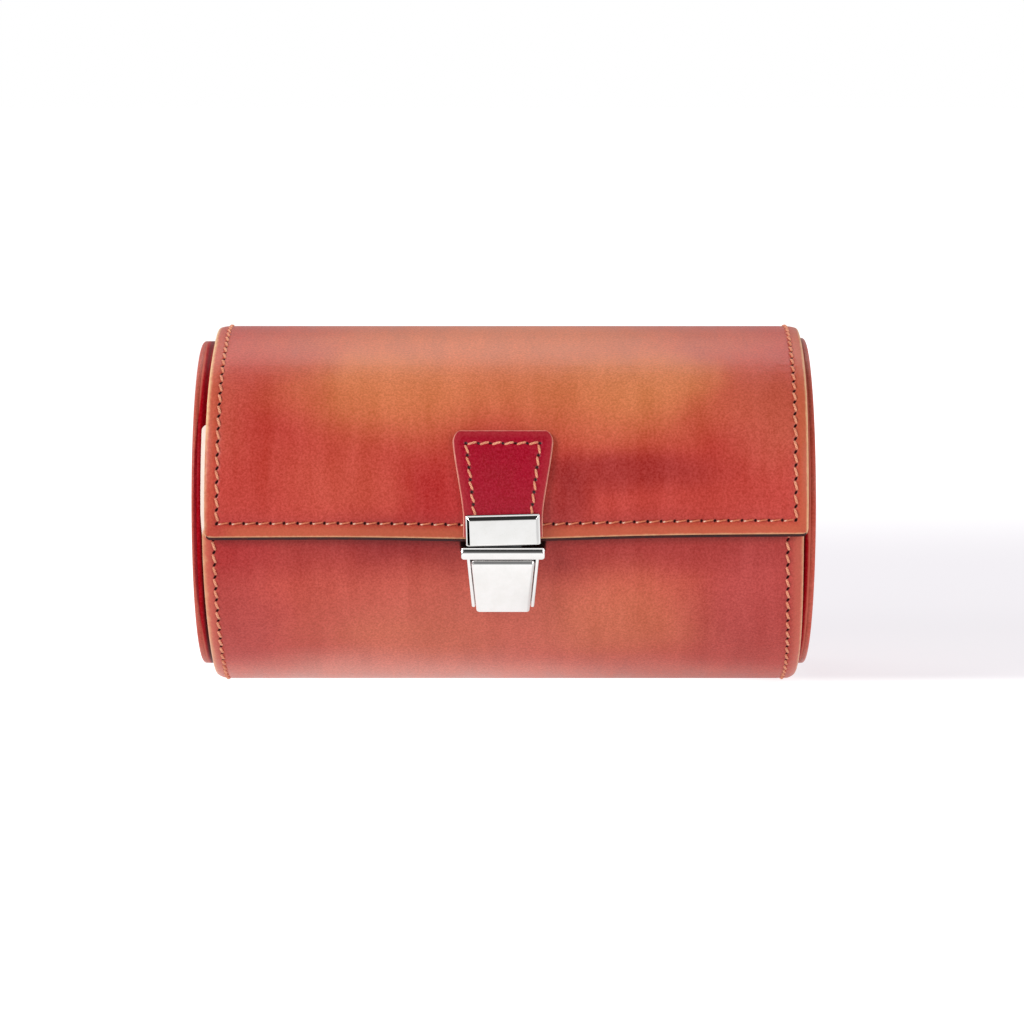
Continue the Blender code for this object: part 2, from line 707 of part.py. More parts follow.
def make_hasp(stud_holes):
    """Chrome cap, steel tongue, inner plate and studs on the flap's edge."""
    half_height = HASP_HEIGHT / 2
    half_width = HASP_WIDTH / 2
    hold = SEAT_GAP + TONGUE_THICKNESS / 2
    cap = block(
        "hasp_cap",
        (-half_width, half_width),
        (-half_height, half_height),
        (-HASP_HOOD_DEPTH, HASP_RISE),
        CHROME,
    )
    bevel(seat(cap, HASP_GUIDE), HASP_BEVEL)
    flap_edge = FLAP_EDGE_ANGLE - HASP_ANGLE
    hood_top = TAB_OUTER * math.sin(math.radians(flap_edge)) - SEAT_GAP
    seat_cutter = barrel_cutter("hasp_seat", TAB_OUTER + SEAT_GAP)
    clear_of_hood = block(
        "hasp_hood_limit", (-HASP_WIDTH, HASP_WIDTH), (hood_top, HASP_HEIGHT), (-REACH, REACH)
    )
    seat(clear_of_hood, HASP_GUIDE)
    boolean(seat_cutter, clear_of_hood, "INTERSECT")
    boolean(cap, seat_cutter)
    pocket_half = TONGUE_WIDTH / 2 + SEAT_GAP
    hold_top = TONGUE_HOLD - half_height
    pocket = block(
        "tongue_pocket",
        (-pocket_half, pocket_half),
        (-HASP_HEIGHT, hold_top + SEAT_GAP),
        (-REACH, hold + TONGUE_THICKNESS / 2 + SEAT_GAP),
    )
    seat(pocket, HASP_GUIDE)
    boolean(cap, pocket)
    for hole in stud_holes:
        boolean(cap, hole)

    end, (dy, dz) = tongue_line()
    turn = math.radians(HASP_ANGLE)
    base = hasp_point(0, hold)
    out = (-math.cos(turn), math.sin(turn))
    lead = (base[0] - end[0]) * out[0] + (base[1] - end[1]) * out[1]
    step = lead / (dy * out[0] + dz * out[1])
    bend = (end[0] + step * dy, end[1] + step * dz)
    tongue = along_barrel(
        "hasp_tongue",
        ribbon([hasp_point(hold_top, hold), bend, end], TONGUE_THICKNESS),
        -TONGUE_WIDTH / 2,
        TONGUE_WIDTH / 2,
        STEEL,
    )
    window_half = LEAF_WIDTH / 2 + NOSE_PLAY
    window = block(
        "catch_window",
        (-window_half, window_half),
        (WINDOW_LOW, WINDOW_HIGH),
        (-REACH, REACH),
    )
    seat(window, LOCK_GUIDE)
    boolean(tongue, window)
    hang(tongue, FLAP_HINGE)

    low, high, back, front, half = hasp_plate_limits()
    plate = block("hasp_back_plate", (-half, half), (low, high), (back, front), STEEL)
    seat(plate, HASP_GUIDE)
    for hole in stud_holes:
        boolean(plate, hole)
    for name, side in (("left", -1), ("right", 1)):
        stud = drum(f"hasp_stud_{name}", STUD_RADIUS, back, STUD_BITE, FINE_SIDES, STEEL)
        seat(stud, HASP_GUIDE, x=side * STUD_SPACING / 2)
        stud.location.y = STUD_RAISE


def pin_limits():
    """Inner and outer end of a button pin, from its ear into the rail."""
    rail = lock_half(PIVOT_UP) - RAIL_WIDTH
    return EAR_INSIDE + SEAT_GAP, rail + PIN_BITE


def make_lock_case():
    """Chrome frame of the press lock: two rails, a low foot wall and the slotted mouth flange."""
    case = prism(
        "lock_case", [lock_outline(LOCK_FOOT, LOCK_TOP, 0)], -REACH / 2, RAIL_FRONT, CHROME
    )
    bevel(seat(case, LOCK_GUIDE), LOCK_BEVEL)
    flange = block(
        "lock_flange",
        (-FLANGE_WIDTH / 2, FLANGE_WIDTH / 2),
        (LOCK_TOP - LOCK_BEVEL, FLANGE_TOP),
        (-REACH / 2, FLANGE_FRONT),
    )
    bevel(seat(flange, LOCK_GUIDE), LOCK_BEVEL)
    inner_foot = LOCK_FOOT + FOOT_WALL
    hollow = prism(
        "lock_hollow", [lock_outline(inner_foot, LOCK_TOP, RAIL_WIDTH)], LIP_RISE, REACH
    )
    opening = prism(
        "lock_back_opening",
        [lock_outline(inner_foot + LIP_WIDTH, LOCK_TOP - LIP_WIDTH, RAIL_WIDTH + LIP_WIDTH)],
        -REACH,
        LIP_RISE + SEAT_GAP,
    )
    wall_front = BUTTON_BACK - BUTTON_TRAVEL - BUTTON_CLEARANCE
    notch = prism(
        "button_notch",
        [lock_outline(LOCK_FOOT - FOOT_WALL, inner_foot + FOOT_WALL, RAIL_WIDTH)],
        wall_front,
        REACH,
    )
    slot_half = TONGUE_WIDTH / 2 + SLOT_CLEARANCE
    slot = block(
        "tongue_slot",
        (-slot_half, slot_half),
        (LOCK_TOP - FLANGE_HEIGHT, FLANGE_TOP + FLANGE_HEIGHT),
        (SLOT_LOW, SLOT_HIGH),
    )
    boolean(case, flange, "UNION")
    for cutter in (hollow, opening, notch, slot):
        boolean(case, seat(cutter, LOCK_GUIDE))
    boolean(case, barrel_cutter("lock_seat", CASE_RADIUS + SEAT_GAP))
    pin_start, pin_end = pin_limits()
    for side in (-1, 1):
        bore = drum(f"rail_bore_{side}", PIN_HOLE, pin_start, pin_end + SEAT_GAP / 3, FINE_SIDES)
        bore.rotation_euler = (0, side * math.pi / 2, 0)
        bore.location = BUTTON_AXIS.location
        boolean(case, bore)


def make_button():
    """Press button with two ears on the pivot pins and a post over the catch spring."""
    button = prism(
        "lock_button",
        [rounded(lock_outline(BUTTON_FOOT, BUTTON_TOP, BUTTON_INSET), BUTTON_CORNER)],
        BUTTON_BACK,
        BUTTON_FRONT,
        CHROME,
    )
    bevel(seat(button, LOCK_GUIDE), BUTTON_BEVEL)
    sink = (BUTTON_FRONT - BUTTON_BACK) / 2
    pin_start, pin_end = pin_limits()
    for name, side in (("left", -1), ("right", 1)):
        x_span = sorted((side * EAR_INSIDE, side * (EAR_INSIDE + EAR_THICKNESS)))
        ear = block(
            f"button_ear_{name}",
            x_span,
            (PIVOT_UP - EAR_HALF, PIVOT_UP + EAR_HALF),
            (PIVOT_OUT - EAR_HALF, BUTTON_BACK + sink),
        )
        boolean(button, seat(ear, LOCK_GUIDE), "UNION")
    post_up = PIVOT_UP - POST_DROP
    post = block(
        "button_post",
        (-POST_SIZE / 2, POST_SIZE / 2),
        (post_up - POST_SIZE / 2, post_up + POST_SIZE / 2),
        (LEAF_FRONT + SEAT_GAP, BUTTON_BACK + sink),
    )
    boolean(button, seat(post, LOCK_GUIDE), "UNION")
    axle = drum("ear_bore", PIN_HOLE, -LOCK_TOP_WIDTH, LOCK_TOP_WIDTH, FINE_SIDES)
    axle.rotation_euler = (0, math.pi / 2, 0)
    axle.location = BUTTON_AXIS.location
    boolean(button, axle)
    hang(button, BUTTON_AXIS)
    for name, side in (("left", -1), ("right", 1)):
        pin = drum(f"button_pin_{name}", PIN_RADIUS, pin_start, pin_end, FINE_SIDES, STEEL)
        pin.rotation_euler = (0, side * math.pi / 2, 0)
        pin.location = BUTTON_AXIS.location


def make_catch(screw_holes):
    """Base plate in the lock, and the leaf spring with a ramped nose riveted to it."""
    inset = RAIL_WIDTH + SEAT_GAP
    low = LOCK_FOOT + FOOT_WALL + SEAT_GAP
    base = prism(
        "lock_base", [lock_outline(low, LOCK_TOP - SEAT_GAP, inset)], BASE_BACK, BASE_FRONT, STEEL
    )
    seat(base, LOCK_GUIDE)
    nose_top = tongue_out(NOSE_LOW) - TONGUE_THICKNESS / 2 + NOSE_ENTRY
    outline = [
        (LEAF_FOOT, LEAF_BACK),
        (NOSE_HIGH, LEAF_BACK),
        (NOSE_HIGH, LEAF_FRONT),
        (NOSE_LOW + NOSE_LENGTH / 3, nose_top),
        (NOSE_LOW, nose_top),
        (NOSE_LOW, LEAF_FRONT),
        (LEAF_FOOT, LEAF_FRONT),
    ]
    leaf = prism("catch_spring", [outline], -LEAF_WIDTH / 2, LEAF_WIDTH / 2, STEEL)
    seat(leaf, LOCK_GUIDE, ALONG_X)
    rivet_up = LEAF_FOOT + RIVET_INSET
    hole = drum("rivet_hole", RIVET_HOLE, -REACH, REACH, FINE_SIDES)
    seat(hole, LOCK_GUIDE)
    hole.location.y = rivet_up
    boolean(leaf, hole)
    for cutter in [hole] + screw_holes:
        boolean(base, cutter)
    under = LEAF_FRONT + SEAT_GAP
    rivet = turned(
        "catch_rivet",
        [
            (0, under + RIVET_HEAD_HEIGHT),
            (RIVET_HEAD_RADIUS, under + RIVET_HEAD_HEIGHT),
            (RIVET_HEAD_RADIUS, under),
            (RIVET_RADIUS, under),
            (RIVET_RADIUS, BASE_BACK),
            (0, BASE_BACK),
        ],
        STEEL,
    )
    seat(rivet, LOCK_GUIDE)
    rivet.location.y = rivet_up


def make_lock_fixing(screw_holes):
    """Plate inside the barrel and the two screws that draw the lock onto the wall."""
    front = back_plate_out()
    back = front - BACK_PLATE_THICKNESS
    half_width = BACK_PLATE_WIDTH / 2
    half_height = BACK_PLATE_HEIGHT / 2
    corners = [
        (-half_width, -half_height),
        (half_width, -half_height),
        (half_width, half_height),
        (-half_width, half_height),
    ]
    plate = prism("lock_back_plate", [rounded(corners, BACK_PLATE_CORNER)], back, front, STEEL)
    seat(plate, LOCK_GUIDE)
    for hole in screw_holes:
        boolean(plate, hole)
    under = back - SEAT_GAP
    profile = [
        (0, BASE_FRONT),
        (SCREW_RADIUS, BASE_FRONT),
        (SCREW_RADIUS, under),
        (SCREW_HEAD_RADIUS, under),
        (SCREW_HEAD_RADIUS, under - SCREW_HEAD_HEIGHT),
        (0, under - SCREW_HEAD_HEIGHT),
    ]
    for name, side in (("left", -1), ("right", 1)):
        screw = turned(f"lock_screw_{name}", profile, STEEL)
        seat(screw, LOCK_GUIDE, x=side * SCREW_SPACING / 2)
        screw.location.y = -SCREW_DROP


def make_brush_band():
    """Leather band whose loops stand up from the lining between seams, to hold brush handles."""
    base = LINING_INNER - SEAT_GAP
    span = degrees_along(LOOP_SPAN, base)
    seam = degrees_along(LOOP_SEAM, base)
    whole = BAND_LOOPS * span + (BAND_LOOPS + 1) * seam
    start = BAND_ANGLE - whole / 2
    shape = [(start, 0.0)]
    for loop in range(BAND_LOOPS):
        first = start + seam + loop * (span + seam)
        for k in range(LOOP_STEPS + 1):
            turn = math.pi * k / LOOP_STEPS
            shape.append((first + span * (1 - math.cos(turn)) / 2, LOOP_HEIGHT * math.sin(turn)))
    shape.append((start + whole, 0.0))
    wall = [section(base - rise, a) for a, rise in shape]
    top = [section(base - rise - BAND_THICKNESS, a) for a, rise in reversed(shape)]
    along_barrel("brush_band", wall + top, -BAND_WIDTH / 2, BAND_WIDTH / 2, ELASTIC)


def main():
    """Build every piece of the case."""
    screw_holes = screw_cutters()
    stud_holes = stud_cutters()
    make_barrel(screw_holes)
    make_end("left", -1)
    make_end("right", 1)
    make_flap(stud_holes)
    make_tab(stud_holes)
    make_hasp(stud_holes)
    make_lock_case()
    make_button()
    make_catch(screw_holes)
    make_lock_fixing(screw_holes)
    make_brush_band()
    bpy.context.view_layer.update()


main()
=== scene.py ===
"""Looks of a round leather brush case: hand-dyed wrap and flap, sewn borders, chrome tuck lock.

Metres, +Z up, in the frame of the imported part: the barrel lies along X and its front faces -Y.
Angles round the barrel are degrees upwards from the front, over the top to the back.
"""
import json
import math

import bmesh
import bpy
import numpy as np
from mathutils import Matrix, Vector


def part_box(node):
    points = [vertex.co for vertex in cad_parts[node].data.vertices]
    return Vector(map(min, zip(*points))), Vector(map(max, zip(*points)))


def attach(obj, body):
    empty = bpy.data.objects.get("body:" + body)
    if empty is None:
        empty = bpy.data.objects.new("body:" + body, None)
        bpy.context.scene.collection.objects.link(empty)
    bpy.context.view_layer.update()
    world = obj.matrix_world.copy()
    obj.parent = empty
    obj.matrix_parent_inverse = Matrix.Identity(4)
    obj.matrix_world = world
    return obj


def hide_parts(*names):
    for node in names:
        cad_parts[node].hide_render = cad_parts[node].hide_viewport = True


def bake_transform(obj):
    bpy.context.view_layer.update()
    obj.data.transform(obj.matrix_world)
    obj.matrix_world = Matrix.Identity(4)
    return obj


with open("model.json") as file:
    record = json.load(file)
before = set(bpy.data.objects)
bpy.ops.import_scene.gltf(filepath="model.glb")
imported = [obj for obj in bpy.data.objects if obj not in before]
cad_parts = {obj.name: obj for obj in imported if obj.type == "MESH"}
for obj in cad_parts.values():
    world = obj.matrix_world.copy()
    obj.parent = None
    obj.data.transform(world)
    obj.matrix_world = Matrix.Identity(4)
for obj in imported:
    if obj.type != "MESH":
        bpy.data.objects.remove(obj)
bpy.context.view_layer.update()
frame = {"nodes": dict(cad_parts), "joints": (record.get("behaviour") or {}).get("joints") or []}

MM = 0.001

# Barrel, read from the frame
_, HINGE_Y, HINGE_Z = next(j for j in frame["joints"] if j["name"] == "flap_hinge")["pos_m"]
END_LOW, END_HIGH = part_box("right_end_cover")
PLUG_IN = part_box("right_end_collar")[0].x
AXIS_Z = (END_LOW.z + END_HIGH.z) / 2
RADIUS = math.hypot(HINGE_Y, HINGE_Z - AXIS_Z)
HINGE_ANGLE = math.degrees(math.atan2(HINGE_Z - AXIS_Z, -HINGE_Y))
HALF_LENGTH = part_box("body_leather")[1].x
LINING_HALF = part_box("body_lining")[1].x
END_RADIUS = END_HIGH.z - AXIS_Z

# Leather sheets
LEATHER = 1.4 * MM
FLAP_LIFT = 2.7 * MM
FLAP_SHIFT = (0.9 * MM, 1.4 * MM)
FLAP_SHIFT_RISE = (0, 80)
FLAP_SHIFT_FADE = (95, HINGE_ANGLE)
FLAP_SKEW = 0.5 * MM
FLAP_SAG = 0.85 * MM
FLAP_SAG_REACH = 30.0 * MM
FLAP_SAG_FADE = 26.0 * MM
FLAP_EDGE_ANGLE = -3.2
FLAP_UNDERCUT = 0.8 * MM
FLAP_UNDERCUT_REACH = 2 * MM
FLAP_EASE = (35.5, 70.5)
FOLD_ANGLE = HINGE_ANGLE + 6.0
FOLD_END_ANGLE = HINGE_ANGLE - 6.0
LIP_ANGLE = 32.2 + 360.0
FLAP_LENGTH = RADIUS * math.radians(FOLD_ANGLE - FLAP_EDGE_ANGLE)
FLAP_CORNER = 1.5 * MM
EDGE_ROUND = 0.45 * MM
EDGE_BULGE = 0.12 * MM
EDGE_SKIVE = 0.35
ROLL_DEPTH = 1.2 * MM
FLAP_ROLL = 0.5
ROLL_REACH = 3.3 * MM
SIDE_INSET = 3.45 * MM
BARREL_INSETS = (3.25 * MM, 4.45 * MM)
BARREL_SHIFT = 0.7 * MM
BARREL_SHIFT_RISE = (180, 260)
BARREL_SHIFT_FADE = (300, 357)
RIGHT_ROW_START = 40.0 * MM
RIGHT_ROW_SHARE = 2.1
LIP_SHIFT = -0.35 * MM
LIP_SHIFT_RISE = (355, 364)
FRONT_INSET = 3.65 * MM
NEAR_LOCK = np.linspace(-14, 14, 29) * MM

# Cut edges: how far their pale fibre shows on the left and on the right. The left ones and the lip's ends
# show wider and paler: the fibre's own pale colour with a painted highlight of the key light
FLAP_CUT = (1.3 * MM, 0.9 * MM)
FLAP_CUT_RISE = (20, 33)
FRONT_CUT = 0.9 * MM
WRAP_CUT = (1.8 * MM, 1.1 * MM)
LIP_CUT = 1.4 * MM
LIP_END = (357, 360)
TAB_CUT = 0.5 * MM
LEFT_HEM = (5 * MM - HALF_LENGTH, 10 * MM - HALF_LENGTH)

# Painted shade on the wrap behind the gap in the lock, under the tab and the hasp
LOCK_SHADE_START = (349.5, 352.5)
LOCK_SHADE_END = (357.5, 360.5)
LOCK_SHADE_HALF = (10.5 * MM, 12.5 * MM)

# Stitching
PITCH = 3.6 * MM
HOLE_RADIUS = 0.42 * MM
HOLE_RADII = (0.6 * MM, 0.33 * MM)
HOLE_LEAN = math.radians(34)
HOLE_DEPTH = 0.55 * MM
GROOVE_WIDTH = 0.8 * MM
GROOVE_DEPTH = 0.22 * MM
ROW_MARGIN = 0.5 * MM
SIDE_PHASES = np.array([0.0, 0.09, 0.2, 0.8, 0.91])
FRONT_PHASES = np.array([0.0, 0.12, 0.88])
THREAD_RADIUS = 0.36 * MM
THREAD_RISE = 0.16 * MM
THREAD_SINK = 0.45 * MM
THREAD_SLANT = 0.36 * MM
THREAD_START = 0.58 * MM
FRONT_THREAD_START = 0.34 * MM
FRONT_THREAD_SIZE = 0.68
FRONT_SLANT = THREAD_SLANT * 0.7
LIP_THREAD_SIZE = 0.82
LIP_SLANT = THREAD_SLANT * 0.6
TAB_THREAD_SIZE = 0.95
FOOT_CLEAR = 0.45 * MM

# Tab on the flap
TAB_OUTER = RADIUS + FLAP_LIFT + 1.6 * MM
TAB_THICKNESS = 1.3 * MM
TAB_TOP_ANGLE = 27.9
TAB_TOP_HALF = 13.6 * MM
TAB_FOOT_HALF = 10.75 * MM
TAB_CORNER = (2.4 * MM, 3.4 * MM)
TAB_STITCH = (10.0 * MM, 23.9, 7.6 * MM, 2.6)
TAB_INSETS = (3.4 * MM, 3.6 * MM)
TAB_PITCH = 3.35 * MM
TAB_HOLE_DEPTH = 0.4 * MM
TAB_BORDER = 2.2 * MM
TAB_BULGE = 0.05 * MM
TAB_TAPER = 0.8
TAB_STRAIGHT = 0.6

# Linings and the brush band
LINING_OUTER = 46.7 * MM
LINING_INNER = 46.0 * MM
LINING_EASE = (35.2, 40.3)
LINING_SPLIT = 0.3
LINING_LIPS = (0.2, 0.05)
FOLD_DEPTHS = (0.05 * MM, 0.45 * MM)
FOLD_REACH = 9
BAND_RADIUS = 45.7 * MM
BAND_HALF = 8.0 * MM
LOOP_COUNT = 4
LOOP_HEIGHT = 9.0 * MM
LOOP_SPAN = 10.0 * MM
LOOP_SEAM = 2.4 * MM
LOOP_THICKNESS = 0.9 * MM

# Ends
COVER_RIM = 1.45 * MM
COVER_IN = END_HIGH.x - COVER_RIM
COVER_ROUND = 0.75 * MM
COVER_CREASE = 4.2 * MM
CORAL_RIM = 1.6 * MM
COLLAR_STAND = HALF_LENGTH + 0.5 * MM
COLLAR_SOFT = 0.35 * MM
COLLAR_INNER = END_RADIUS - 1.5 * MM
END_DISC = END_RADIUS - 1.8 * MM
RIGHT_COVER_RISE = 0.5 * MM
RIGHT_COVER_STEP = 0.35 * MM

# Lock, in degrees and millimetres
HASP_ANGLE = -1.05
HASP_TILT = 1.5
HASP_HALF = (10.1, 4.15)
HASP_TOP = 4.35
LOCK_ANGLE = -17.2
LOCK_TOP = 7.6
LOCK_FOOT = -7.6
LOCK_HALF = (8.5, 9.9)
HOOD_TOP = -2.15
RAIL_WIDTH = 1.1
RAIL_OVER = 0.2
BAR_INSET = 0.4
BAR_RISE = (0.05, 1.0)
FLANGE_TOP = 9.5
FLANGE_BLOCK = (11.2, -1.0, 4.8)
FLANGE_SLOT = (5.4, 2.75, 4.48)
FLANGE_HALF = 11.3
BUTTON_TOP = 6.95
BUTTON_FOOT = -8.5
BUTTON_INSET = 1.22
BUTTON_EAR = (0.6, 3.75, 5.65)
BUTTON_EAR_PLACE = 6.4
BUTTON_POST = (1.2, -2.2, 0.2)

# Stage
FLOOR_REACH = 12.0
FLOOR_DEPTH = -0.05 * MM
FLOOR_WHITE = (1.08, 1.08, 1.08, 1.0)
FLOOR_SHADOW = (0.66, 0.635, 0.67, 1.0)
FLOOR_BOUNCE = (0.7, 0.7, 0.7, 1.0)
CAMERA_DISTANCE = 1.05
CAMERA_ELEVATION = math.radians(7.0)
CAMERA_AIM = Vector((2.45 * MM, 0.0, AXIS_Z - 2.85 * MM))
CAMERA_LENS = 129.8
CAMERA_SENSOR = 36.0

# Softboxes: name, place, size, power
SOFTBOXES = [
    ("back_softbox", (0.0, 0.69, 1.01), (1.8, 0.36), 5.2),
    ("left_key", (-1.05, -0.75, 0.75), (0.6, 0.6), 13.2),
    ("right_fill", (1.05, -0.9, 0.55), (0.8, 0.8), 6.6),
]

SHARP = math.radians(50)
METAL_SHARP = math.radians(30)


def srgb(red, green, blue):
    """Linear colour of a dye named by its 8-bit screen values."""
    share = np.array([red, green, blue]) / 255.0
    return (*np.where(share > 0.04045, ((share + 0.055) / 1.055) ** 2.4, share / 12.92), 1.0)


# Dyes and finishes, with the colours of painted shade and highlight among them
AMBER = srgb(216, 124, 80)
HONEY = srgb(220, 134, 86)
BRICK = srgb(190, 66, 56)
CLAY = srgb(200, 98, 80)
SALMON = srgb(198, 96, 74)
OXBLOOD = srgb(140, 34, 38)
GARNET = srgb(174, 34, 38)
HEM = srgb(208, 110, 70)
WRAP_HEM = srgb(212, 112, 88)
ROSE = srgb(182, 70, 68)
BLUSH = srgb(222, 142, 126)
CRIMSON = srgb(164, 8, 40)
CRIMSON_DEEP = srgb(150, 4, 24)
CRIMSON_WORN = srgb(184, 66, 66)
CRIMSON_CUT = srgb(246, 170, 148)
COLLAR_RED = srgb(176, 4, 24)
# Near black beside the wrap's edge: painted shade in the gap under it
COLLAR_GAP_SHADE = srgb(60, 2, 5)
CORAL = srgb(202, 98, 82)
CORAL_DEEP = srgb(196, 74, 56)
RAW_EDGE = srgb(255, 214, 160)
# Near white cut ends of the wrap's lip: the fibre's own pale colour with a painted highlight of the key light
RAW_LIP = srgb(255, 240, 226)
# Near black of the flap's front edge: painted shade beneath that edge
EDGE_SHADE = srgb(48, 10, 14)
EDGE_SHADE_PALE = srgb(92, 26, 22)
# Painted shade inside the needle holes
HOLE_DARK = srgb(34, 8, 8)
THREAD = srgb(248, 172, 136)
THREAD_DULL = srgb(230, 140, 104)
# A painted highlight where a tight stitch rises from its hole, and painted shade where it sinks
THREAD_TIP_HIGHLIGHT = srgb(252, 214, 186)
THREAD_SUNK_SHADE = srgb(214, 118, 82)
# Painted shade in the grooves between the thread's plies
THREAD_DARK = srgb(178, 82, 58)
SUEDE = srgb(150, 96, 70)
SUEDE_DARK = srgb(128, 78, 56)
BAND = srgb(92, 46, 32)
BAND_DARK = srgb(66, 30, 22)
BOARD = srgb(168, 158, 142)
BOARD_DULL = srgb(146, 134, 116)
BOARD_FLECK = srgb(104, 94, 80)
STEEL = srgb(182, 184, 188)
STEEL_DULL = srgb(160, 162, 168)
# Near black of the tongue: painted shade in the gap between the hasp and the flange
TONGUE_SHADE_BLACK = srgb(34, 34, 36)
BLACK_RUBBED = srgb(72, 72, 74)
CHROME = srgb(240, 239, 238)
CHROME_HAZE = srgb(235, 234, 232)
GRAIN_LIFT = 0.08
CLOUD_LIFT = 0.04

# Patches of dye, and of painted shade below the flap's edge: colour, place along the barrel (mm), angle,
# reach each way, strength
DYE_AND_SHADE_PATCHES = [
    (AMBER, 0, 72, 84, 34, 0.8),
    (AMBER, -26, 44, 42, 23, 0.85),
    (AMBER, 28, 44, 46, 23, 0.85),
    (HONEY, 38, 46, 24, 16, 0.6),
    (HONEY, -34, 50, 18, 18, 0.35),
    (AMBER, -44, 14, 26, 16, 0.12),
    (SALMON, 75, 38, 18, 26, 0.7),
    (SALMON, -80, 40, 16, 26, 0.5),
    (OXBLOOD, 30, 16.5, 38, 8.5, 0.5),
    (GARNET, -19, 8, 9, 15, 0.7),
    (OXBLOOD, 17, 8, 10, 14, 0.6),
    (CLAY, -2, -36, 84, 32, 0.95),
    (AMBER, 34, -34, 26, 24, 0.35),
    (AMBER, -26, -44, 26, 18, 0.2),
    (ROSE, 70, -28, 24, 34, 0.7),
    (ROSE, -76, -30, 18, 34, 0.6),
    # The next three patches darken the wrap just below the flap's edge: painted shade where the flap
    # overhangs it
    (OXBLOOD, 0, -7, 120, 13, 0.55),
    (OXBLOOD, -28, -6, 22, 8, 0.5),
    (GARNET, -76, -8, 16, 12, 0.5),
    (SALMON, 0, -80, 110, 30, 0.6),
    (BLUSH, -30, -68, 70, 22, 0.75),
    (BLUSH, 40, -66, 50, 16, 0.3),
    (AMBER, 30, -128, 60, 34, 0.6),
    (OXBLOOD, -40, -146, 40, 22, 0.5),
    (AMBER, -20, 112, 66, 30, 0.6),
]
DRIFT_ALONG = 24.0
DRIFT_TURN = 10.0


def on_barrel(x, angle, radius):
    """Points at x along the barrel: y = -radius cos(angle), z = axis + radius sin(angle)."""
    turn = np.radians(angle)
    parts = np.broadcast_arrays(x, -radius * np.cos(turn), AXIS_Z + radius * np.sin(turn))
    return np.stack(parts, axis=-1)


def across_barrel(x, angle, radius):
    """Grid of points on the barrel, with one row for each angle and radius and one column for each x."""
    return on_barrel(x[None], angle[:, None], np.asarray(radius)[..., None])


def on_plate(angle, radius, x, up, out):
    """Points of a flat plate on the barrel: up along the tangent and out along the normal of a place."""
    turn = math.radians(angle)
    y = -radius * math.cos(turn) + up * math.sin(turn) - out * math.cos(turn)
    z = AXIS_Z + radius * math.sin(turn) + up * math.cos(turn) + out * math.sin(turn)
    return np.stack(np.broadcast_arrays(x, y, z), axis=-1)


def smoothstep(value, low, high):
    """3t^2 - 2t^3 of the share t of the way from low to high."""
    t = np.clip((value - low) / (high - low), 0, 1)
    return t * t * (3 - 2 * t)


def unit(vectors):
    """Vectors scaled to length one."""
    return vectors / np.linalg.norm(vectors, axis=-1, keepdims=True)


# Mesh helpers


def grid_cells(rows, cols, wrap=False):
    """Corner numbers of the cells between rows by cols points; wrap joins the last row to the first."""
    r = np.arange(rows if wrap else rows - 1)[:, None]
    c = np.arange(cols - 1)[None, :]
    here = r * cols + c
    after = (r + 1) % rows * cols + c
    return np.stack([here, here + 1, after + 1, after], axis=-1).reshape(-1, 4)


def ring_cells(loops):
    """Cells between successive closed loops of point numbers, one loop per row."""
    turned_loops = np.roll(loops, -1, axis=-1)
    corners = [loops[..., :-1, :], turned_loops[..., :-1, :], turned_loops[..., 1:, :], loops[..., 1:, :]]
    return np.stack(corners, axis=-1).reshape(-1, 4)


def add_object(name, data):
    """Object with its data, in the scene."""
    item = bpy.data.objects.new(name, data)
    bpy.context.scene.collection.objects.link(item)
    return item


def build(name, points, faces, finishes, body, parts=None, marks=None, weld=False, sharp=SHARP):
    """Mesh object from arrays: normals turned outwards, smooth but for sharp edges, riding on a body.

    parts gives each face's finish, and marks gives each point named values for the materials.
    """
    mesh = bpy.data.meshes.new(name)
    mesh.from_pydata(np.asarray(points).reshape(-1, 3).tolist(), [], [list(f) for f in faces])
    for finish in finishes:
        mesh.materials.append(FINISH[finish])
    if parts is not None:
        mesh.polygons.foreach_set("material_index", np.asarray(parts, np.int32))
    for mark, values in (marks or {}).items():
        values = np.asarray(values, np.float32)
        kind, field = ("FLOAT_VECTOR", "vector") if values.shape[-1] == 3 else ("FLOAT", "value")
        layer = mesh.attributes.new(mark, kind, "POINT")
        layer.data.foreach_set(field, values.ravel())
    shape = bmesh.new()
    shape.from_mesh(mesh)
    if weld:
        bmesh.ops.remove_doubles(shape, verts=shape.verts, dist=1e-7)
    bmesh.ops.recalc_face_normals(shape, faces=shape.faces)
    shape.to_mesh(mesh)
    shape.free()
    mesh.shade_smooth()
    mesh.set_sharp_from_angle(angle=sharp)
    item = add_object(name, mesh)
    if body:
        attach(item, body)
    return item


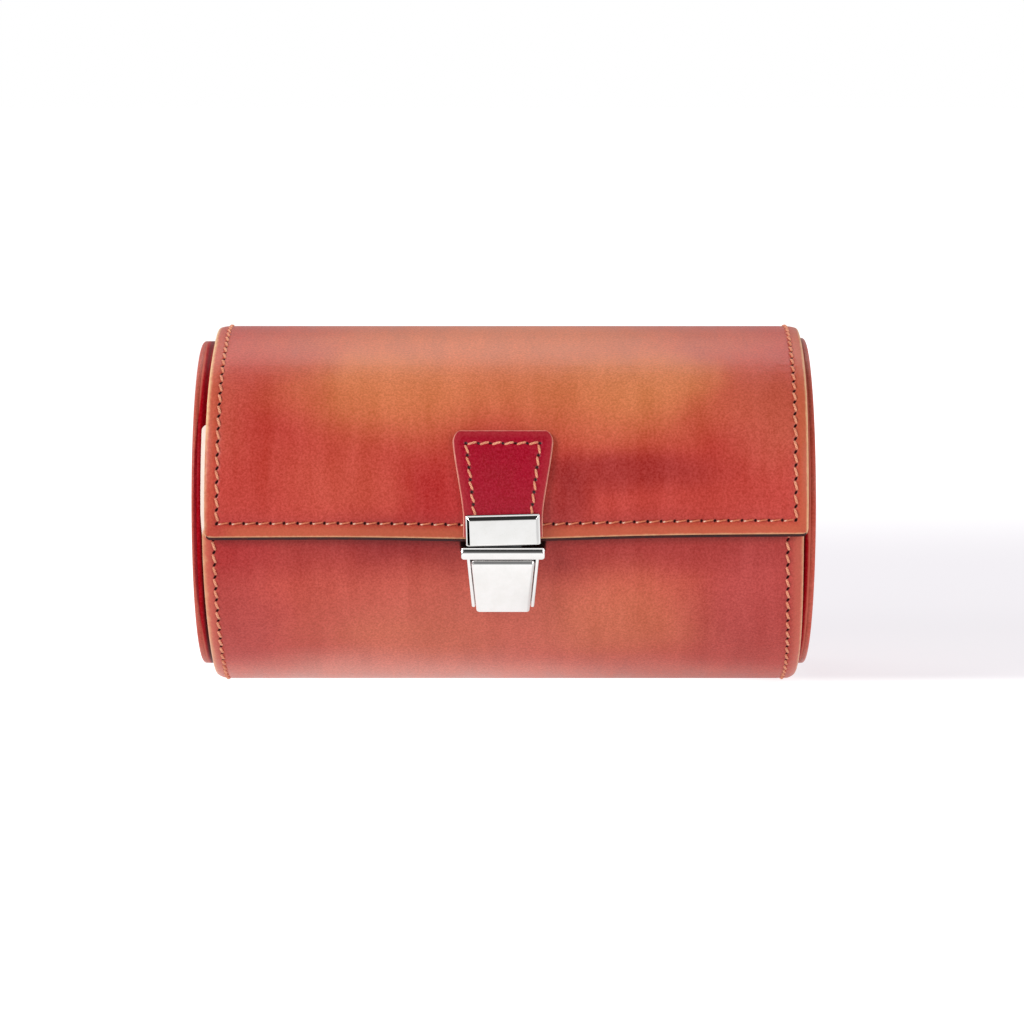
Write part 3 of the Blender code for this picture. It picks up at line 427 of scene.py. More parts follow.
def slab(outer, inner, bulge=EDGE_BULGE, steps=4):
    """Closed sheet between two grids: the rim runs from edge to edge and bulges by a half sine.

    Returns points, faces and each face's part: 0 outer, 1 rim, 2 inner, 3 rim along the first row.
    """
    rows, cols = outer.shape[:2]
    down, right = np.arange(1, rows), np.arange(cols)
    last_row, last_col = np.full(cols - 1, rows - 1), np.full(rows - 1, cols - 1)
    r = np.concatenate([0 * right, down, last_row, down[-2::-1]])
    c = np.concatenate([right, last_col, right[-2::-1], 0 * down[1:]])
    edge = outer[r, c]
    away = unit(edge - outer[np.clip(r, 1, rows - 2), np.clip(c, 1, cols - 2)])
    share = (np.arange(1, steps) / steps)[:, None, None]
    rim = edge + (inner[r, c] - edge) * share + away * bulge * np.sin(np.pi * share)
    size = rows * cols
    points = np.concatenate([grid.reshape(-1, 3) for grid in (outer, inner, rim)])
    border = r * cols + c
    between = 2 * size + np.arange((steps - 1) * len(border)).reshape(steps - 1, -1)
    cells = grid_cells(rows, cols)
    around = ring_cells(np.concatenate([border[None], between, border[None] + size]))
    faces = np.concatenate([cells, around, cells[:, ::-1] + size])
    rim_parts = np.ones((steps, len(border)), int)
    rim_parts[:, :cols - 1] = 3
    parts = np.concatenate([np.zeros(len(cells)), rim_parts.ravel(), np.full(len(cells), 2)])
    return points, faces, parts


def sheet_marks(points, gap, cut, hole):
    """Marks of a sewn slab: place on the hide, distance from the edge, shares of cut edge and of hole.

    The values on the outer grid are carried to the inner one, and the rim is all cut edge.
    """
    marks = {"hide": points}
    for name, values, rim_value in (("gap", gap, 0.0), ("cut", np.clip(cut, 0, 1), 1.0), ("hole", hole, 0.0)):
        rim = np.full(len(points) - 2 * values.size, rim_value)
        marks[name] = np.concatenate([values.ravel(), values.ravel(), rim])[:, None]
    return marks


def outline(corners, inset, radius, steps=6):
    """Convex outline, drawn in by inset, whose corners are arcs about the further inset corners."""
    corners = np.asarray(corners, float)
    along = unit(np.roll(corners, -1, axis=0) - corners)
    inward = np.stack([-along[:, 1], along[:, 0]], axis=-1)
    before = np.roll(inward, 1, axis=0)
    mitre = (before + inward) / (1 + np.sum(before * inward, axis=1, keepdims=True))
    left = max(radius - inset, 0.05 * MM)
    centres = corners + mitre * (inset + left)
    start = np.arctan2(-before[:, 1], -before[:, 0])
    sweep = np.arctan2(-inward[:, 1], -inward[:, 0]) - start
    sweep = (sweep + np.pi) % (2 * np.pi) - np.pi
    turn = start[:, None] + sweep[:, None] * np.linspace(0, 1, steps + 1)
    arcs = centres[:, None] + left * np.stack([np.cos(turn), np.sin(turn)], axis=-1)
    return arcs.reshape(-1, 2)


def loft(loops):
    """Closed solid through loops of points, with flat caps on the first and the last."""
    levels, count = loops.shape[:2]
    numbers = np.arange(levels * count).reshape(levels, count)
    faces = ring_cells(numbers).tolist() + [numbers[0].tolist(), numbers[-1].tolist()]
    return loops.reshape(-1, 3), faces


def ring(loops):
    """Closed solid through loops of points whose last loop meets the first, such as a frame."""
    levels, count = loops.shape[:2]
    numbers = np.arange(levels * count).reshape(levels, count)
    return loops.reshape(-1, 3), ring_cells(np.concatenate([numbers, numbers[:1]])).tolist()


def joined(solids):
    """Points and faces of several solids in one mesh."""
    points, faces, start = [], [], 0
    for solid_points, solid_faces in solids:
        points.append(solid_points)
        faces += [[start + corner for corner in face] for face in solid_faces]
        start += len(solid_points)
    return np.concatenate(points), faces


def turned(profile, side, turns):
    """Profile of (x, radius) points turned about the barrel's axis; side mirrors it to the left."""
    x, radius = np.asarray(profile, float).T
    points = on_barrel(side * x[None, :], turns[:, None], radius[None, :])
    rows, cols = points.shape[:2]
    return points, grid_cells(rows, cols, wrap=True)


# Node helpers


class Nodes:
    """A node tree with short ways to add nodes and to join them."""

    def __init__(self, tree):
        self.tree = tree

    def add(self, kind, values=None, **settings):
        """Node with its settings; values gives each input a constant or another node's socket."""
        made = self.tree.nodes.new(kind)
        for key, value in settings.items():
            setattr(made, key, value)
        for key, value in (values or {}).items():
            if isinstance(value, bpy.types.NodeSocket):
                self.tree.links.new(value, made.inputs[key])
            else:
                made.inputs[key].default_value = value
        return made

    def give(self, sockets, values):
        """Links values to the named sockets of a node."""
        for name, value in values.items():
            self.tree.links.new(value, sockets[name])

    def maths(self, operation, first, second=0.0):
        """One step of arithmetic."""
        return self.add("ShaderNodeMath", {0: first, 1: second}, operation=operation).outputs[0]

    def times(self, first, second):
        """Product of two values."""
        return self.maths("MULTIPLY", first, second)

    def plus(self, first, second):
        """Sum of two values."""
        return self.maths("ADD", first, second)

    def minus(self, first, second):
        """Difference of two values."""
        return self.maths("SUBTRACT", first, second)

    def vector(self, operation, first, second):
        """One step of arithmetic on vectors."""
        return self.add("ShaderNodeVectorMath", {0: first, 1: second}, operation=operation).outputs[0]

    def split(self, vector):
        """The x, y and z of a vector."""
        return self.add("ShaderNodeSeparateXYZ", {0: vector}).outputs

    def ease(self, value, low, high, start=0.0, end=1.0):
        """Smooth step of a value from start at low to end at high."""
        values = {"Value": value, "From Min": low, "From Max": high, "To Min": start, "To Max": end}
        return self.add("ShaderNodeMapRange", values, interpolation_type="SMOOTHSTEP").outputs[0]

    def mix(self, share, first, second, blend="MIX"):
        """Two colours mixed by a share."""
        values = {0: share, 6: first, 7: second}
        return self.add("ShaderNodeMix", values, data_type="RGBA", blend_type=blend).outputs[2]

    def grey(self, value):
        """A value as a grey colour."""
        return self.add("ShaderNodeCombineColor", {0: value, 1: value, 2: value}).outputs[0]

    def shade(self, colour, value, blend="MULTIPLY"):
        """A colour times a value, or with the value added to it."""
        return self.mix(1.0, colour, self.grey(value), blend)

    def noise(self, place, size, detail=2.0, roughness=0.5, output="Fac"):
        """Cloudy values whose clouds are about a given size across."""
        values = {"Vector": place, "Scale": 1 / size, "Detail": detail, "Roughness": roughness}
        return self.add("ShaderNodeTexNoise", values).outputs[output]

    def mark(self, name, output="Fac"):
        """Value that the mesh carries for each point."""
        return self.add("ShaderNodeAttribute", attribute_name=name).outputs[output]

    def hide(self):
        """A point's place on the hide, which stays with the leather when it bends."""
        return self.mark("hide", "Vector")

    def place(self):
        """A point's place on its object."""
        return self.add("ShaderNodeTexCoord").outputs["Object"]

    def shared(self, tree, **values):
        """A shared group placed in a material."""
        return self.add("ShaderNodeGroup", values, node_tree=tree).outputs


SOCKET_KINDS = {"Place": "NodeSocketVector", "Colour": "NodeSocketColor"}


def group(name, inputs, outputs):
    """Empty shader node group with named sockets; returns its nodes, its inputs and its outputs."""
    tree = bpy.data.node_groups.new(name, "ShaderNodeTree")
    for way, labels in (("INPUT", inputs), ("OUTPUT", outputs)):
        for label in labels:
            kind = SOCKET_KINDS.get(label, "NodeSocketFloat")
            tree.interface.new_socket(name=label, in_out=way, socket_type=kind)
    nodes = Nodes(tree)
    return nodes, nodes.add("NodeGroupInput").outputs, nodes.add("NodeGroupOutput").inputs


# Shared effects


def make_patina():
    """Hand-dyed patina: soft patches of dye over brick red, with painted shade below the flap's edge, their
    edges moved about by noise.
    """
    nodes, given, result = group("hand_dyed_patina", ["Place"], ["Colour", "Cloud"])
    place = given["Place"]
    x, y, z = nodes.split(place)
    drift = nodes.add("ShaderNodeSeparateColor", {0: nodes.noise(place, 24 * MM, 3.0, 0.5, "Color")}).outputs
    along = nodes.plus(nodes.maths("DIVIDE", x, MM), nodes.times(drift[0], DRIFT_ALONG))
    along = nodes.minus(along, DRIFT_ALONG / 2)
    angle = nodes.maths("DEGREES", nodes.maths("ARCTAN2", nodes.minus(z, AXIS_Z), nodes.times(y, -1.0)))
    angle = nodes.minus(nodes.plus(angle, nodes.times(drift[1], DRIFT_TURN)), DRIFT_TURN / 2)
    spot = nodes.add("ShaderNodeCombineXYZ", {0: along, 1: angle}).outputs[0]
    colour = BRICK
    for dye, centre, turn, reach, reach_turn, strength in DYE_AND_SHADE_PATCHES:
        offset = nodes.vector("SUBTRACT", spot, (centre, turn, 0))
        share = nodes.vector("MULTIPLY", offset, (1 / reach, 1 / reach_turn, 0))
        far = nodes.add("ShaderNodeVectorMath", {0: share}, operation="LENGTH").outputs["Value"]
        colour = nodes.mix(nodes.ease(far, 0.2, 1.15, strength, 0.0), colour, dye)
    cloud = nodes.noise(nodes.vector("MULTIPLY", place, (1.0, 0.2, 0.2)), 7 * MM, 4.0, 0.6)
    colour = nodes.shade(colour, nodes.ease(cloud, 0.25, 0.75, 0.93, 1.06))
    colour = nodes.shade(colour, nodes.times(nodes.minus(cloud, 0.5), CLOUD_LIFT), "ADD")
    nodes.give(result, {"Colour": colour, "Cloud": cloud})
    return nodes.tree


def make_grain():
    """Leather grain: rounded cells with fine pores, as a height and as a speckle of lighter cells."""
    nodes, given, result = group("leather_grain", ["Place", "Cell"], ["Height", "Speckle"])
    place = given["Place"]
    bent = nodes.noise(place, 2.2 * MM, 2.0, 0.5, "Color")
    shift = nodes.add("ShaderNodeVectorMath", {0: bent, "Scale": 0.5 * MM}, operation="SCALE").outputs[0]
    values = {"Vector": nodes.vector("ADD", place, shift), "Randomness": 0.95}
    values["Scale"] = nodes.maths("DIVIDE", 1.0, given["Cell"])
    cells = nodes.add("ShaderNodeTexVoronoi", values, feature="DISTANCE_TO_EDGE").outputs["Distance"]
    fine = nodes.noise(place, 0.35 * MM, 3.0, 0.65)
    coarse = nodes.noise(place, 0.6 * MM, 3.0, 0.75)
    height = nodes.plus(nodes.times(nodes.ease(cells, 0.0, 0.22), 0.55), nodes.times(fine, 0.6))
    nodes.give(result, {"Height": height, "Speckle": nodes.ease(coarse, 0.28, 0.72, 0.86, 1.14)})
    return nodes.tree


def make_sewn_edge():
    """Cut edges and sewing: raw pale edges, a lighter worn border, and needle holes painted dark as the shade
    inside them.
    """
    inputs = ["Place", "Gap", "Cut", "Hole", "Reach"]
    nodes, given, result = group("sewn_edge", inputs, ["Raw", "Border", "Hole"])
    uneven = nodes.minus(nodes.noise(given["Place"], 1.6 * MM, 3.0, 0.6), 0.5)
    cut = nodes.plus(given["Cut"], nodes.times(uneven, 0.5))
    broad = nodes.plus(given["Gap"], nodes.times(uneven, 1.2 * MM))
    share = nodes.maths("DIVIDE", broad, given["Reach"])
    nodes.give(result, {
        "Raw": nodes.ease(cut, 0.05, 1.05),
        "Border": nodes.ease(share, 0.4, 1.3, 1.0, 0.0),
        "Hole": nodes.ease(given["Hole"], 0.12, 0.6),
    })
    return nodes.tree


def make_end_dye():
    """Dye of the ends: a coral rim, narrow at the left front; and painted shade, a dark ring beside the wrap
    that is weaker higher up.
    """
    nodes, given, result = group("end_dye", ["Place"], ["Coral", "Dark"])
    x, y, z = nodes.split(given["Place"])
    side = nodes.maths("ABSOLUTE", x)
    height = nodes.maths("ABSOLUTE", nodes.minus(z, AXIS_Z))
    narrow = nodes.ease(height, 12 * MM, 42 * MM, -1.05 * MM, 0.45 * MM)
    left_front = nodes.times(nodes.maths("LESS_THAN", x), nodes.ease(y, -20 * MM, 0.0, 1.0, 0.0))
    high = nodes.ease(z, AXIS_Z - 8 * MM, AXIS_Z + 14 * MM, 0.0, 1.7 * MM)
    right_top = nodes.times(high, nodes.maths("GREATER_THAN", x))
    rim = nodes.plus(nodes.plus(nodes.times(narrow, left_front), CORAL_RIM - END_HIGH.x), right_top)
    uneven = nodes.times(nodes.noise(given["Place"], 3 * MM), 0.3 * MM)
    over = nodes.plus(nodes.plus(side, rim), uneven)
    # inside, beside and low give painted shade in the gap beside the wrap's edge, weaker higher up
    inside = nodes.ease(side, HALF_LENGTH - 0.6 * MM, HALF_LENGTH - 0.1 * MM)
    beside = nodes.ease(side, HALF_LENGTH + 0.15 * MM, HALF_LENGTH + 1.1 * MM, 0.95, 0.0)
    low = nodes.ease(z, AXIS_Z + 12 * MM, AXIS_Z + 26 * MM, 1.0, 0.6)
    dark = nodes.times(nodes.times(inside, beside), low)
    nodes.give(result, {"Coral": nodes.ease(over, -0.15 * MM, 0.45 * MM), "Dark": dark})
    return nodes.tree


PATINA = make_patina()
GRAIN = make_grain()
SEWN_EDGE = make_sewn_edge()
END_DYE_AND_SHADE = make_end_dye()

# Materials


def material(name, **constants):
    """Principled material with its constant sockets set; returns it with its nodes."""
    made = bpy.data.materials.new(name)
    made.use_nodes = True
    inputs = made.node_tree.nodes["Principled BSDF"].inputs
    for key, value in constants.items():
        inputs[key.replace("_", " ")].default_value = value
    return made, Nodes(made.node_tree)


def finish(made, nodes, values, relief=None):
    """Links values to a material's shader; relief is a height, its distance in mm and its strength."""
    inputs = made.node_tree.nodes["Principled BSDF"].inputs
    nodes.give(inputs, values)
    if relief:
        height, distance, strength = relief
        bump = {"Height": height, "Distance": distance * MM, "Strength": strength}
        nodes.give(inputs, {"Normal": nodes.add("ShaderNodeBump", bump).outputs[0]})
    return made


def sewn_edge(nodes, hide, reach):
    """The sewn-edge group, fed with the marks that a sheet carries."""
    marks = {name: nodes.mark(name.lower()) for name in ("Gap", "Cut", "Hole")}
    return nodes.shared(SEWN_EDGE, Place=hide, Reach=reach, **marks)


def grained(nodes, colour, speckle):
    """Colour with a speckle of grain: cells shaded by a share, and a little paler or darker besides."""
    lift = nodes.times(nodes.minus(speckle, 1.0), GRAIN_LIFT)
    return nodes.shade(nodes.shade(colour, speckle), lift, "ADD")


def make_patina_leather(name, raw, palest, hem, left_share, hem_share):
    """Face of the wrap or the flap, dyed on the hide, with sewn and cut edges.

    raw is the colour of a half-pale cut edge and the next colour that of a fully pale one; on the wrap it is
    near white, a painted highlight of the key light on the lip's cut ends. The border takes the hem's colour
    by two shares: one for the left side, one for the rest.
    """
    made, nodes = material(name, Specular_IOR_Level=0.2, Coat_Roughness=0.22)
    hide = nodes.hide()
    dyed = nodes.shared(PATINA, Place=hide)
    grain = nodes.shared(GRAIN, Place=hide, Cell=0.5 * MM)
    edge = sewn_edge(nodes, hide, SIDE_INSET)
    along = nodes.split(hide)[0]
    share = nodes.ease(along, *LEFT_HEM, left_share, hem_share)
    colour = grained(nodes, dyed["Colour"], grain["Speckle"])
    colour = nodes.mix(nodes.times(edge["Border"], share), colour, hem)
    pale = nodes.mix(nodes.ease(edge["Raw"], 0.5, 0.85), raw, palest)
    colour = nodes.mix(nodes.times(edge["Raw"], 0.9), colour, pale)
    shine = nodes.minus(1.0, edge["Hole"])
    values = {
        # Needle holes painted dark as their shade
        "Base Color": nodes.mix(edge["Hole"], colour, HOLE_DARK),
        "Roughness": nodes.maths("MAXIMUM", nodes.ease(dyed["Cloud"], 0.2, 0.8, 0.3, 0.42), edge["Hole"]),
        "Coat Weight": nodes.times(nodes.ease(grain["Speckle"], 0.9, 1.1, 0.14, 0.02), shine),
    }
    return finish(made, nodes, values, (grain["Height"], 0.05, 0.5))


def make_raw_edge():
    """Cut edge of the leather: pale fibre with a stain of dye."""
    made, nodes = material("raw_edge", Roughness=0.6)
    hide = nodes.hide()
    stain = nodes.ease(nodes.noise(hide, 5 * MM, 3.0), 0.35, 0.7)
    fibre = nodes.noise(hide, 0.3 * MM, 3.0, 0.7)
    colour = nodes.mix(nodes.times(stain, 0.4), RAW_EDGE, SALMON)
    colour = nodes.shade(colour, nodes.ease(fibre, 0.25, 0.75, 0.75, 1.1))
    return finish(made, nodes, {"Base Color": colour}, (fibre, 0.12, 0.6))


def make_front_edge_shade():
    """Front edge of the flap, painted almost black as the shade beneath it, paler in rubbed patches."""
    made, nodes = material("front_edge_shade_finish", Specular_IOR_Level=0.3)
    rubbed = nodes.noise(nodes.hide(), 2.5 * MM, 3.0, 0.6)
    colour = nodes.mix(nodes.ease(rubbed, 0.4, 0.75, 0.0, 0.6), EDGE_SHADE, EDGE_SHADE_PALE)
    return finish(made, nodes, {"Base Color": colour, "Roughness": nodes.ease(rubbed, 0.2, 0.8, 0.45, 0.65)})


def clouded(nodes, place, size, cell, dye, deep, low, high, share):
    """Grained leather with clouds of a deeper dye; returns its colour, its clouds and its grain."""
    grain = nodes.shared(GRAIN, Place=place, Cell=cell)
    cloud = nodes.noise(place, size, 4.0, 0.6)
    colour = nodes.mix(nodes.ease(cloud, low, high, 0.0, share), dye, deep)
    return grained(nodes, colour, grain["Speckle"]), cloud, grain["Height"]


def make_tab_leather():
    """Crimson leather of the tab, its sewn border worn to a dusty red with a pale cut line."""
    made, nodes = material("crimson_tab", Specular_IOR_Level=0.3)
    hide = nodes.hide()
    colour, cloud, height = clouded(nodes, hide, 8 * MM, 0.45 * MM, CRIMSON, CRIMSON_DEEP, 0.3, 0.75, 0.5)
    edge = sewn_edge(nodes, hide, TAB_BORDER)
    colour = nodes.mix(nodes.times(edge["Border"], 0.28), colour, CRIMSON_WORN)
    colour = nodes.mix(nodes.times(edge["Raw"], 0.85), colour, CRIMSON_CUT)
    # Needle holes painted dark as their shade
    colour = nodes.mix(edge["Hole"], colour, HOLE_DARK)
    values = {"Base Color": colour, "Roughness": nodes.ease(cloud, 0.2, 0.8, 0.3, 0.44)}
    return finish(made, nodes, values, (height, 0.05, 0.5))


def make_collar_leather():
    """Crimson leather of the collars, coral at the rim, and painted dark beside the wrap for the shade in the
    gap under the wrap's edge.
    """
    made, nodes = material("crimson_leather", Specular_IOR_Level=0.04)
    place = nodes.place()
    colour, cloud, height = clouded(nodes, place, 8 * MM, 0.45 * MM, COLLAR_RED, CRIMSON_DEEP, 0.3, 0.75, 0.5)
    ends = nodes.shared(END_DYE_AND_SHADE, Place=place)
    colour = nodes.mix(ends["Dark"], nodes.mix(ends["Coral"], colour, CORAL), COLLAR_GAP_SHADE)
    values = {"Base Color": colour, "Roughness": nodes.ease(cloud, 0.2, 0.8, 0.3, 0.44)}
    return finish(made, nodes, values, (height, 0.05, 0.5))


def make_coral():
    """End discs: coral leather with clouds of rose and amber, crimson where the rim's dye ends."""
    made, nodes = material("coral_leather", Specular_IOR_Level=0.2)
    place = nodes.place()
    grain = nodes.shared(GRAIN, Place=place, Cell=0.5 * MM)
    cloud = nodes.noise(place, 22 * MM, 3.0, 0.55)
    small = nodes.noise(place, 7 * MM, 4.0, 0.6)
    colour = nodes.mix(nodes.ease(cloud, 0.35, 0.68), CORAL, CORAL_DEEP)
    colour = nodes.mix(nodes.ease(small, 0.45, 0.8, 0.0, 0.45), colour, SALMON)
    colour = nodes.mix(nodes.shared(END_DYE_AND_SHADE, Place=place)["Coral"], CRIMSON_DEEP, colour)
    colour = grained(nodes, colour, grain["Speckle"])
    values = {"Base Color": colour, "Roughness": nodes.ease(cloud, 0.2, 0.8, 0.3, 0.42)}
    return finish(made, nodes, values, (grain["Height"], 0.05, 0.5))


def make_suede(name, place_on):
    """Brushed suede: short nap that leans in patches."""
    made, nodes = material(name, Roughness=0.9, Sheen_Weight=0.35, Sheen_Roughness=0.5)
    place = place_on(nodes)
    lean = nodes.noise(place, 14 * MM, 3.0, 0.6)
    nap = nodes.noise(place, 0.5 * MM, 4.0, 0.75)
    colour = nodes.mix(nodes.ease(lean, 0.35, 0.65), SUEDE, SUEDE_DARK)
    colour = nodes.shade(colour, nodes.ease(nap, 0.2, 0.8, 0.78, 1.18))
    return finish(made, nodes, {"Base Color": colour}, (nap, 0.15, 0.6))


def make_band_leather():
    """Soft dark brown leather of the brush loops."""
    made, nodes = material("band_leather", Specular_IOR_Level=0.4)
    colour, cloud, height = clouded(nodes, nodes.place(), 6 * MM, 0.7 * MM, BAND, BAND_DARK, 0.3, 0.7, 1.0)
    values = {"Base Color": colour, "Roughness": nodes.ease(cloud, 0.2, 0.8, 0.45, 0.6)}
    return finish(made, nodes, values, (height, 0.08, 0.6))


def make_board():
    """Pressed grey board with flecks of fibre."""
    made, nodes = material("pressed_board", Roughness=0.9)
    place = nodes.place()
    fleck = nodes.noise(place, 0.8 * MM, 4.0, 0.7)
    patch = nodes.noise(place, 6 * MM, 3.0)
    colour = nodes.mix(nodes.ease(patch, 0.35, 0.7, 0.0, 0.5), BOARD, BOARD_DULL)
    colour = nodes.mix(nodes.ease(fleck, 0.55, 0.75, 0.0, 0.5), colour, BOARD_FLECK)
    return finish(made, nodes, {"Base Color": colour}, (fleck, 0.1, 0.5))


def make_thread():
    """Waxed two-ply thread: slanting plies with painted shade in the grooves between them, and lighter and
    darker stitches.

    A tight stitch gets a painted highlight where it rises from its hole and painted shade where it sinks.
    """
    made, nodes = material("waxed_thread", Specular_IOR_Level=0.4)
    run, around, _ = nodes.split(nodes.add("ShaderNodeUVMap", uv_map="ply").outputs[0])
    wave = nodes.maths("SINE", nodes.times(nodes.plus(run, around), 2 * math.pi))
    tint = nodes.noise(nodes.hide(), 5 * MM, 2.0)
    colour = nodes.mix(nodes.ease(tint, 0.35, 0.7, 0.0, 0.7), THREAD, THREAD_DULL)
    # Painted highlight at a tight stitch's start, painted shade along its sunk length
    tip_highlight_and_sunk_shade = nodes.mix(nodes.ease(run, 0.5, 1.5), THREAD_TIP_HIGHLIGHT, THREAD_SUNK_SHADE)
    colour = nodes.mix(nodes.mark("tight"), colour, tip_highlight_and_sunk_shade)
    # Painted shade in the twist's grooves
    colour = nodes.mix(nodes.ease(wave, -0.9, 0.1, 0.5, 0.0), colour, THREAD_DARK)
    values = {"Base Color": colour, "Roughness": nodes.ease(tint, 0.2, 0.8, 0.45, 0.6)}
    return finish(made, nodes, values, (wave, 0.06, 0.7))


def make_chrome():
    """Bright plating with a faint haze of handling."""
    made, nodes = material("bright_chrome", Metallic=1.0)
    place = nodes.place()
    haze = nodes.noise(place, 4 * MM, 4.0, 0.6)
    colour = nodes.mix(nodes.ease(haze, 0.3, 0.7), CHROME, CHROME_HAZE)
    values = {"Base Color": colour, "Roughness": nodes.ease(haze, 0.35, 0.8, 0.04, 0.08)}
    return finish(made, nodes, values, (nodes.noise(place, 1.5 * MM, 3.0), 0.001, 0.4))


def make_tongue_shade_steel():
    """Steel of the tongue, painted near black as the shade in the gap between the hasp and the flange, a
    little brighter in rubbed patches.
    """
    made, nodes = material("tongue_shade_steel", Metallic=0.6)
    rubbed = nodes.noise(nodes.place(), 1.5 * MM, 4.0, 0.6)
    colour = nodes.mix(nodes.ease(rubbed, 0.4, 0.8), TONGUE_SHADE_BLACK, BLACK_RUBBED)
    return finish(made, nodes, {"Base Color": colour, "Roughness": nodes.ease(rubbed, 0.2, 0.8, 0.4, 0.6)})


def make_steel():
    """Satin steel, brushed along the barrel."""
    made, nodes = material("satin_steel", Metallic=1.0)
    mapped = nodes.add("ShaderNodeMapping", {0: nodes.place(), "Scale": (0.08, 1.0, 1.0)}).outputs[0]
    brushed = nodes.noise(mapped, 0.25 * MM, 3.0, 0.6)
    colour = nodes.mix(nodes.ease(brushed, 0.3, 0.7), STEEL, STEEL_DULL)
    values = {"Base Color": colour, "Roughness": nodes.ease(brushed, 0.2, 0.8, 0.22, 0.4)}
    return finish(made, nodes, values, (brushed, 0.01, 0.4))


FINISH = {
    "flap_patina": make_patina_leather("flap_patina", RAW_EDGE, RAW_EDGE, HEM, 0.25, 0.5),
    "wrap_patina": make_patina_leather("wrap_patina", RAW_EDGE, RAW_LIP, WRAP_HEM, 0.5, 0.5),
    "raw": make_raw_edge(),
    "front_edge_shade": make_front_edge_shade(),
    "tab": make_tab_leather(),
    "crimson": make_collar_leather(),
    "coral": make_coral(),
    "suede": make_suede("suede_lining", Nodes.place),
    "hinged_suede": make_suede("suede_hinged", Nodes.hide),
    "band": make_band_leather(),
    "board": make_board(),
    "thread": make_thread(),
    "chrome": make_chrome(),
    "steel": make_steel(),
    "tongue_shade_steel": make_tongue_shade_steel(),
}

# Leather sheets


def edge_samples(inset):
    """Distances from a sewn edge: close over the rounded edge and again across the stitch row."""
    return np.concatenate([
        MM * np.array([0.0, 0.05, 0.15, 0.3, 0.5, 0.85, 1.4, 2.0, 2.5]),
        inset + MM * np.array([-0.6, -0.3, 0.0, 0.3, 0.6, 1.2]),
    ])


def row_samples(start, pitch, count, phases):
    """Places along a row of stitches, crowded about each hole."""
    return (start + pitch * (np.arange(count)[:, None] + phases)).ravel()


def sorted_places(*places, last=None):
    """Places in order, none closer than a twentieth of a millimetre, and a fixed last one."""
    step = 0.05 * MM
    merged = np.unique(np.round(np.concatenate(places) / step)) * step
    if last is not None:
        merged = np.append(merged[merged < last - step], last)
    return merged


def sewn(across, phase, pitch, lean=0.0):
    """Depth of a row pressed into the leather, and the share of a needle hole at each point.

    Holes are Gaussian spots, round or drawn out along a leaning line.
    """
    along = (phase - np.round(phase)) * pitch
    length, width = HOLE_RADII if lean else (HOLE_RADIUS, HOLE_RADIUS)
    down_line = along * math.cos(lean) + across * math.sin(lean)
    off_line = across * math.cos(lean) - along * math.sin(lean)
    hole = np.exp(-(down_line / length) ** 2 - (off_line / width) ** 2)
    pressed = np.exp(-(across / GROOVE_WIDTH) ** 2) * (0.6 - 0.4 * np.cos(2 * np.pi * phase))
    return GROOVE_DEPTH * pressed + HOLE_DEPTH * hole, hole


def rounded_drop(gap):
    """Fall of a rounded edge: a quarter circle over the edge's radius."""
    left = np.clip(EDGE_ROUND - gap, 0, None)
    return EDGE_ROUND - np.sqrt(EDGE_ROUND ** 2 - left ** 2)


def rolled_drop(gap):
    """Fall of the leather's ends, which roll in beyond the stitches as a parabola."""
    return ROLL_DEPTH * np.clip(1 - gap / ROLL_REACH, 0, None) ** 2


def skived(gap):
    """Thickness of the leather, thinned in a straight line towards its edge."""
    return LEATHER * (1 - EDGE_SKIVE * np.clip(1 - gap / ROLL_REACH, 0, None))


def flap_radius(angle):
    """Outer radius of the flap: the barrel's own, easing up to lie over the front lip."""
    return RADIUS + FLAP_LIFT * (1 - smoothstep(angle, *FLAP_EASE))


def flap_shift(angle):
    """Sideways set of the flap: small at its front edge, most over the top, none at the fold."""
    front, top = FLAP_SHIFT
    rise = front + (top - front) * smoothstep(angle, *FLAP_SHIFT_RISE)
    return rise * (1 - smoothstep(angle, *FLAP_SHIFT_FADE))


def flap_angle(x, s):
    """Angle on the flap at a distance s from its front edge, which is skewed and sags in the middle."""
    skew = FLAP_SKEW * x / HALF_LENGTH * (1 - s / FLAP_LENGTH)
    sag = FLAP_SAG * np.exp(-(x / FLAP_SAG_REACH) ** 2) * np.clip(1 - s / FLAP_SAG_FADE, 0, 1)
    return FLAP_EDGE_ANGLE + np.degrees((s + skew - sag) / RADIUS)


def corner_warp(x_gap, s_gap, radius):
    """Moves the points of a square corner into a quarter disc by the elliptical grid mapping.

    Takes distances from the two edges and returns them with the distance from the rounded edge.
    """
    a = np.clip(1 - x_gap / radius, 0, 1)
    b = np.clip(1 - s_gap / radius, 0, 1)
    inside = (a > 0) & (b > 0)
    round_a = a * np.sqrt(1 - b * b / 2)
    round_b = b * np.sqrt(1 - a * a / 2)
    new_x = np.where(inside, radius * (1 - round_a), x_gap)
    new_s = np.where(inside, radius * (1 - round_b), s_gap)
    gap = np.where(inside, radius * (1 - np.hypot(round_a, round_b)), np.minimum(x_gap, s_gap))
    return new_x, new_s, gap


